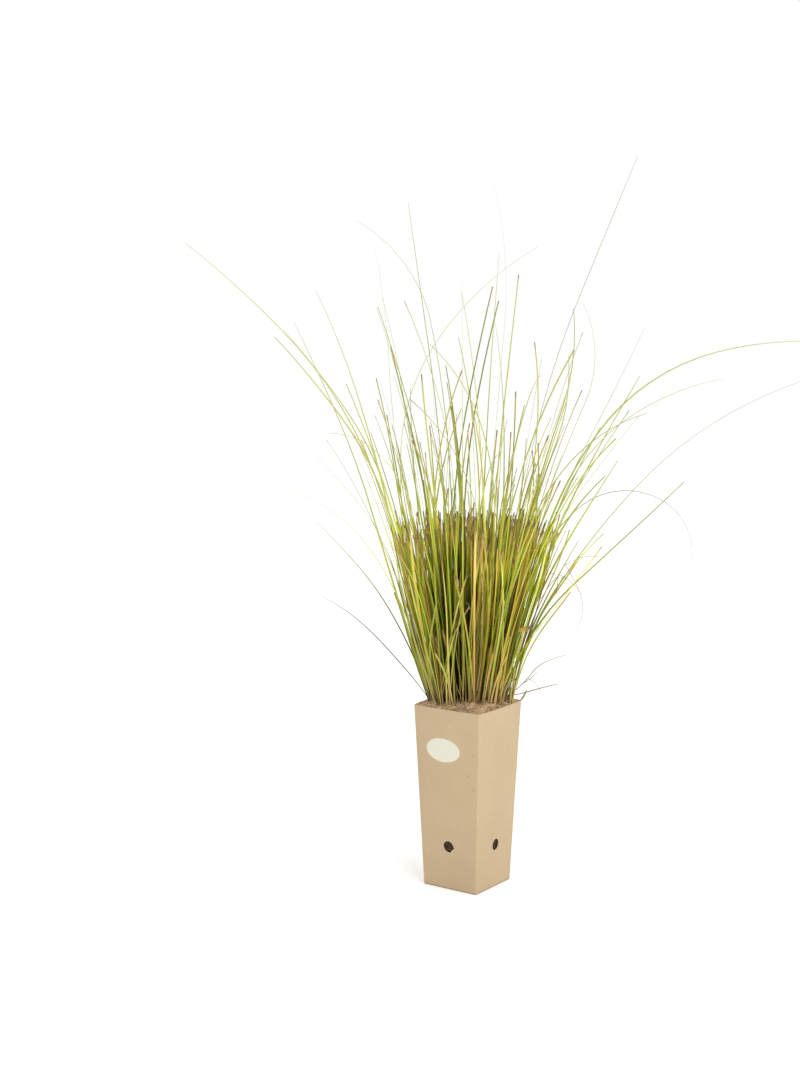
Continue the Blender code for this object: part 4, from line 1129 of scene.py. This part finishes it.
def young_leaf(rng):
    """A thin leaf that grows through the crown, leaning out with the tuft and drooping as it rises."""
    foot = tuft_point(35 * rng.random() ** 0.3, rng.uniform(0, 360))
    heading = heading_from_centre(foot) + rng.gauss(0, 28)
    lean = spread_lean((foot - TUFT_CENTRE).xy.length) * rng.uniform(0.5, 1.05)
    droop = rng.choice((-1, 1, 1, 1)) * rng.triangular(2, 38, 9)
    length = rng.triangular(230, 390, 275)
    leans = [lean + droop * share for share in (0, 0.04, 0.18, 0.5, 1)]
    cut = 1 if rng.random() < 0.45 else 0
    width, shade = rng.uniform(1.5, 2.8), rng.betavariate(1.8, 1.6)
    look = (width, shade, rng.choice((0, 0, 0, 0.1, 0.5)), cut)
    return leaf_path(foot, heading, rng.uniform(-18, 18), length, leans), look


class SEDGE_OT_make_stage(bpy.types.Operator):
    """Makes the floor, the soft light and the camera at the photograph's angle"""
    bl_idname = "sedge.make_stage"
    bl_label = "Make stage"

    def execute(self, context):
        stage = context.scene.sedge_stage
        made, tree, place = new_material("pale floor", 0.9, 0.1)
        cloud = add(tree, "ShaderNodeTexNoise", {"Vector": place, "Scale": 2, "Detail": 2})
        level = add(tree, "ShaderNodeMapRange", [cloud, 0, 1, 0.99, 1.01])
        white = add(tree, "ShaderNodeVectorMath", [stage.floor_colour, level], operation="MULTIPLY")
        shader = tree.nodes["Principled BSDF"].inputs
        tree.links.new(output_of(white), shader["Base Color"])
        shader["Emission Color"].default_value = (1, 1, 1, 1)
        shader["Emission Strength"].default_value = stage.floor_glow
        bm = bmesh.new()
        bmesh.ops.create_circle(bm, cap_ends=True, segments=96, radius=6)
        floor = new_object("floor", mesh_from("floor", bm), made)
        world = bpy.data.worlds.new("studio")
        world.use_nodes = True
        sky = world.node_tree.nodes["Background"].inputs
        sky["Color"].default_value = (1, 1, 1, 1)
        sky["Strength"].default_value = stage.sky
        context.scene.world = world
        context.scene.view_settings.view_transform = "Standard"
        key = bpy.data.lights.new("key", "AREA")
        key.energy = stage.key_power
        key.color = (0.97, 1.0, 1.07)
        key.size = 2.2
        lamp = new_object("key", key)
        lamp.location = KEY_PLACE
        lamp.rotation_euler = (KEY_AIM - lamp.location).to_track_quat("-Z", "Y").to_euler()
        lens = bpy.data.cameras.new("camera")
        lens.lens = stage.lens
        lens.sensor_width = 36
        camera = new_object("camera", lens)
        camera.location = CAMERA_PLACE
        camera.rotation_euler = (math.radians(CAMERA_TILT), 0, math.radians(CAMERA_TURN))
        context.scene.camera = camera
        return {"FINISHED"}


class SEDGE_OT_make_pot(bpy.types.Operator):
    """Makes the folded board pot with its punched holes, and the bare sticker on its wall"""
    bl_idname = "sedge.make_pot"
    bl_label = "Make pot"

    def execute(self, context):
        pot = context.scene.sedge_pot
        kept(make_pot_piece(pot), "kraft_board", "pot")
        kept(make_label_piece(pot), "label_paper", "label")
        return {"FINISHED"}


class SEDGE_OT_make_bed(bpy.types.Operator):
    """Makes the peat behind the holes, and the bed of coconut fibre with its loose fibres"""
    bl_idname = "sedge.make_bed"
    bl_label = "Make peat and fibre"

    def execute(self, context):
        pot, bed = context.scene.sedge_pot, context.scene.sedge_bed
        peat = damp_peat(bed)
        kept(make_peat_piece(pot, peat), "peat_soil", "soil")
        kept(make_crumb_piece(pot, bed, peat), "peat_soil")
        coir = coconut_fibre(bed)
        surface = kept(make_bed_piece(pot, coir), "coconut_fibre", "mulch")
        kept(make_fibre_piece(bed, surface, coir), "coconut_fibre")
        return {"FINISHED"}


class SEDGE_OT_make_stems(bpy.types.Operator):
    """Makes the sheaves of cut stems, the stems that stand apart from them, and the tuft's dry bases"""
    bl_idname = "sedge.make_stems"
    bl_label = "Make cut stems"

    def execute(self, context):
        tuft = context.scene.sedge_tuft
        every_stem = []
        for number, sheaf in enumerate(SHEAVES, 1):
            rng = random.Random(tuft.seed * 100 + number)
            stems = [cut_stem(rng, tuft, sheaf) for _ in range(tuft.stems)]
            every_stem += stems
            make_leaf_piece(f"cut_stems_{number:02d}", stems, rng, STEM_FORM, "cut_sedge",
                            f"sheaf_{number:02d}")
        rng = random.Random(tuft.seed)
        strays = with_headings(STRAY_STEMS)
        rows = [placed(leaf) for leaf in strays]
        rows += [sibling(rng, leaf, 3, 120) for leaf in strays]
        rows += [placed(leaf, forward=FRONT_LEAN) for leaf in with_headings(FRONT_LEAVES)]
        make_leaf_piece("stray_stems", rows, rng, STEM_FORM, "cut_sedge")
        rows = [dead_base(rng) for _ in range(tuft.bases)]
        rows += [gap_base(rng) for _ in range(tuft.gap_bases)]
        rows += [dry_wisp(rng) for _ in range(tuft.wisps)]
        rows += [thread(rng, rng.choice(every_stem)[0]) for _ in range(tuft.threads)]
        make_leaf_piece("dead_bases", rows, rng, STEM_FORM, "cut_sedge")
        return {"FINISHED"}


class SEDGE_OT_make_leaves(bpy.types.Operator):
    """Makes the long uncut leaves, each in the place of its solid, and the thin young ones"""
    bl_idname = "sedge.make_leaves"
    bl_label = "Make leaves"

    def execute(self, context):
        tuft = context.scene.sedge_tuft
        rng = random.Random(tuft.seed + 1)
        for name, leaf in LONG_LEAVES.items():
            make_leaf_piece("leaf_" + name, [placed(leaf)], rng, LEAF_FORM, "sedge_blade", "blade_" + name)
        shoots = with_headings(YOUNG_LEAVES)
        rows = [placed(leaf) for leaf in shoots]
        rows += [sibling(rng, leaf) for leaf in shoots]
        rows += [young_leaf(rng) for _ in range(tuft.young)]
        make_leaf_piece("young_leaves", rows, rng, YOUNG_FORM, "sedge_blade")
        return {"FINISHED"}


class SEDGE_OT_make_strays(bpy.types.Operator):
    """Makes the dry twigs, hair-thin curls and the green shoot at the tuft's foot"""
    bl_idname = "sedge.make_strays"
    bl_label = "Make dry strays"

    def execute(self, context):
        rng = random.Random(context.scene.sedge_tuft.seed + 2)
        rows = []
        for height, *leaf in DRY_STRAYS:
            rows += [placed(row, height * MM, upright=0) for row in with_headings([leaf])]
        make_leaf_piece("dry_strays", rows, rng, DRY_FORM, "sedge_blade")
        return {"FINISHED"}


class SEDGE_PT_panel(bpy.types.Panel):
    """Lists the steps that make the potted sedge, with their sizes and colours"""
    bl_idname = "SEDGE_PT_panel"
    bl_label = "Potted sedge"
    bl_space_type = "VIEW_3D"
    bl_region_type = "UI"
    bl_category = "Sedge"

    def draw(self, context):
        for step in OPERATORS:
            self.layout.operator(step.bl_idname)
        for group_name in GROUPS:
            group = getattr(context.scene, group_name)
            box = self.layout.box()
            for name in group.bl_rna.properties.keys():
                if name not in ("rna_type", "name"):
                    box.prop(group, name)


OPERATORS = (
    SEDGE_OT_make_stage, SEDGE_OT_make_pot, SEDGE_OT_make_bed, SEDGE_OT_make_stems, SEDGE_OT_make_leaves,
    SEDGE_OT_make_strays,
)
GROUPS = {
    "sedge_pot": SedgePotSettings, "sedge_bed": SedgeBedSettings, "sedge_tuft": SedgeTuftSettings,
    "sedge_stage": SedgeStageSettings,
}


def register():
    for kind in (*GROUPS.values(), *OPERATORS, SEDGE_PT_panel):
        bpy.utils.register_class(kind)
    for name, kind in GROUPS.items():
        setattr(bpy.types.Scene, name, PointerProperty(type=kind))


def unregister():
    for name in GROUPS:
        delattr(bpy.types.Scene, name)
    for kind in (SEDGE_PT_panel, *reversed(OPERATORS), *reversed(list(GROUPS.values()))):
        bpy.utils.unregister_class(kind)


def main():
    """Makes every piece in order."""
    register()
    bpy.ops.sedge.make_stage()
    bpy.ops.sedge.make_pot()
    bpy.ops.sedge.make_bed()
    bpy.ops.sedge.make_stems()
    bpy.ops.sedge.make_leaves()
    bpy.ops.sedge.make_strays()
    bpy.context.view_layer.update()


if __name__ == "__main__":
    main()
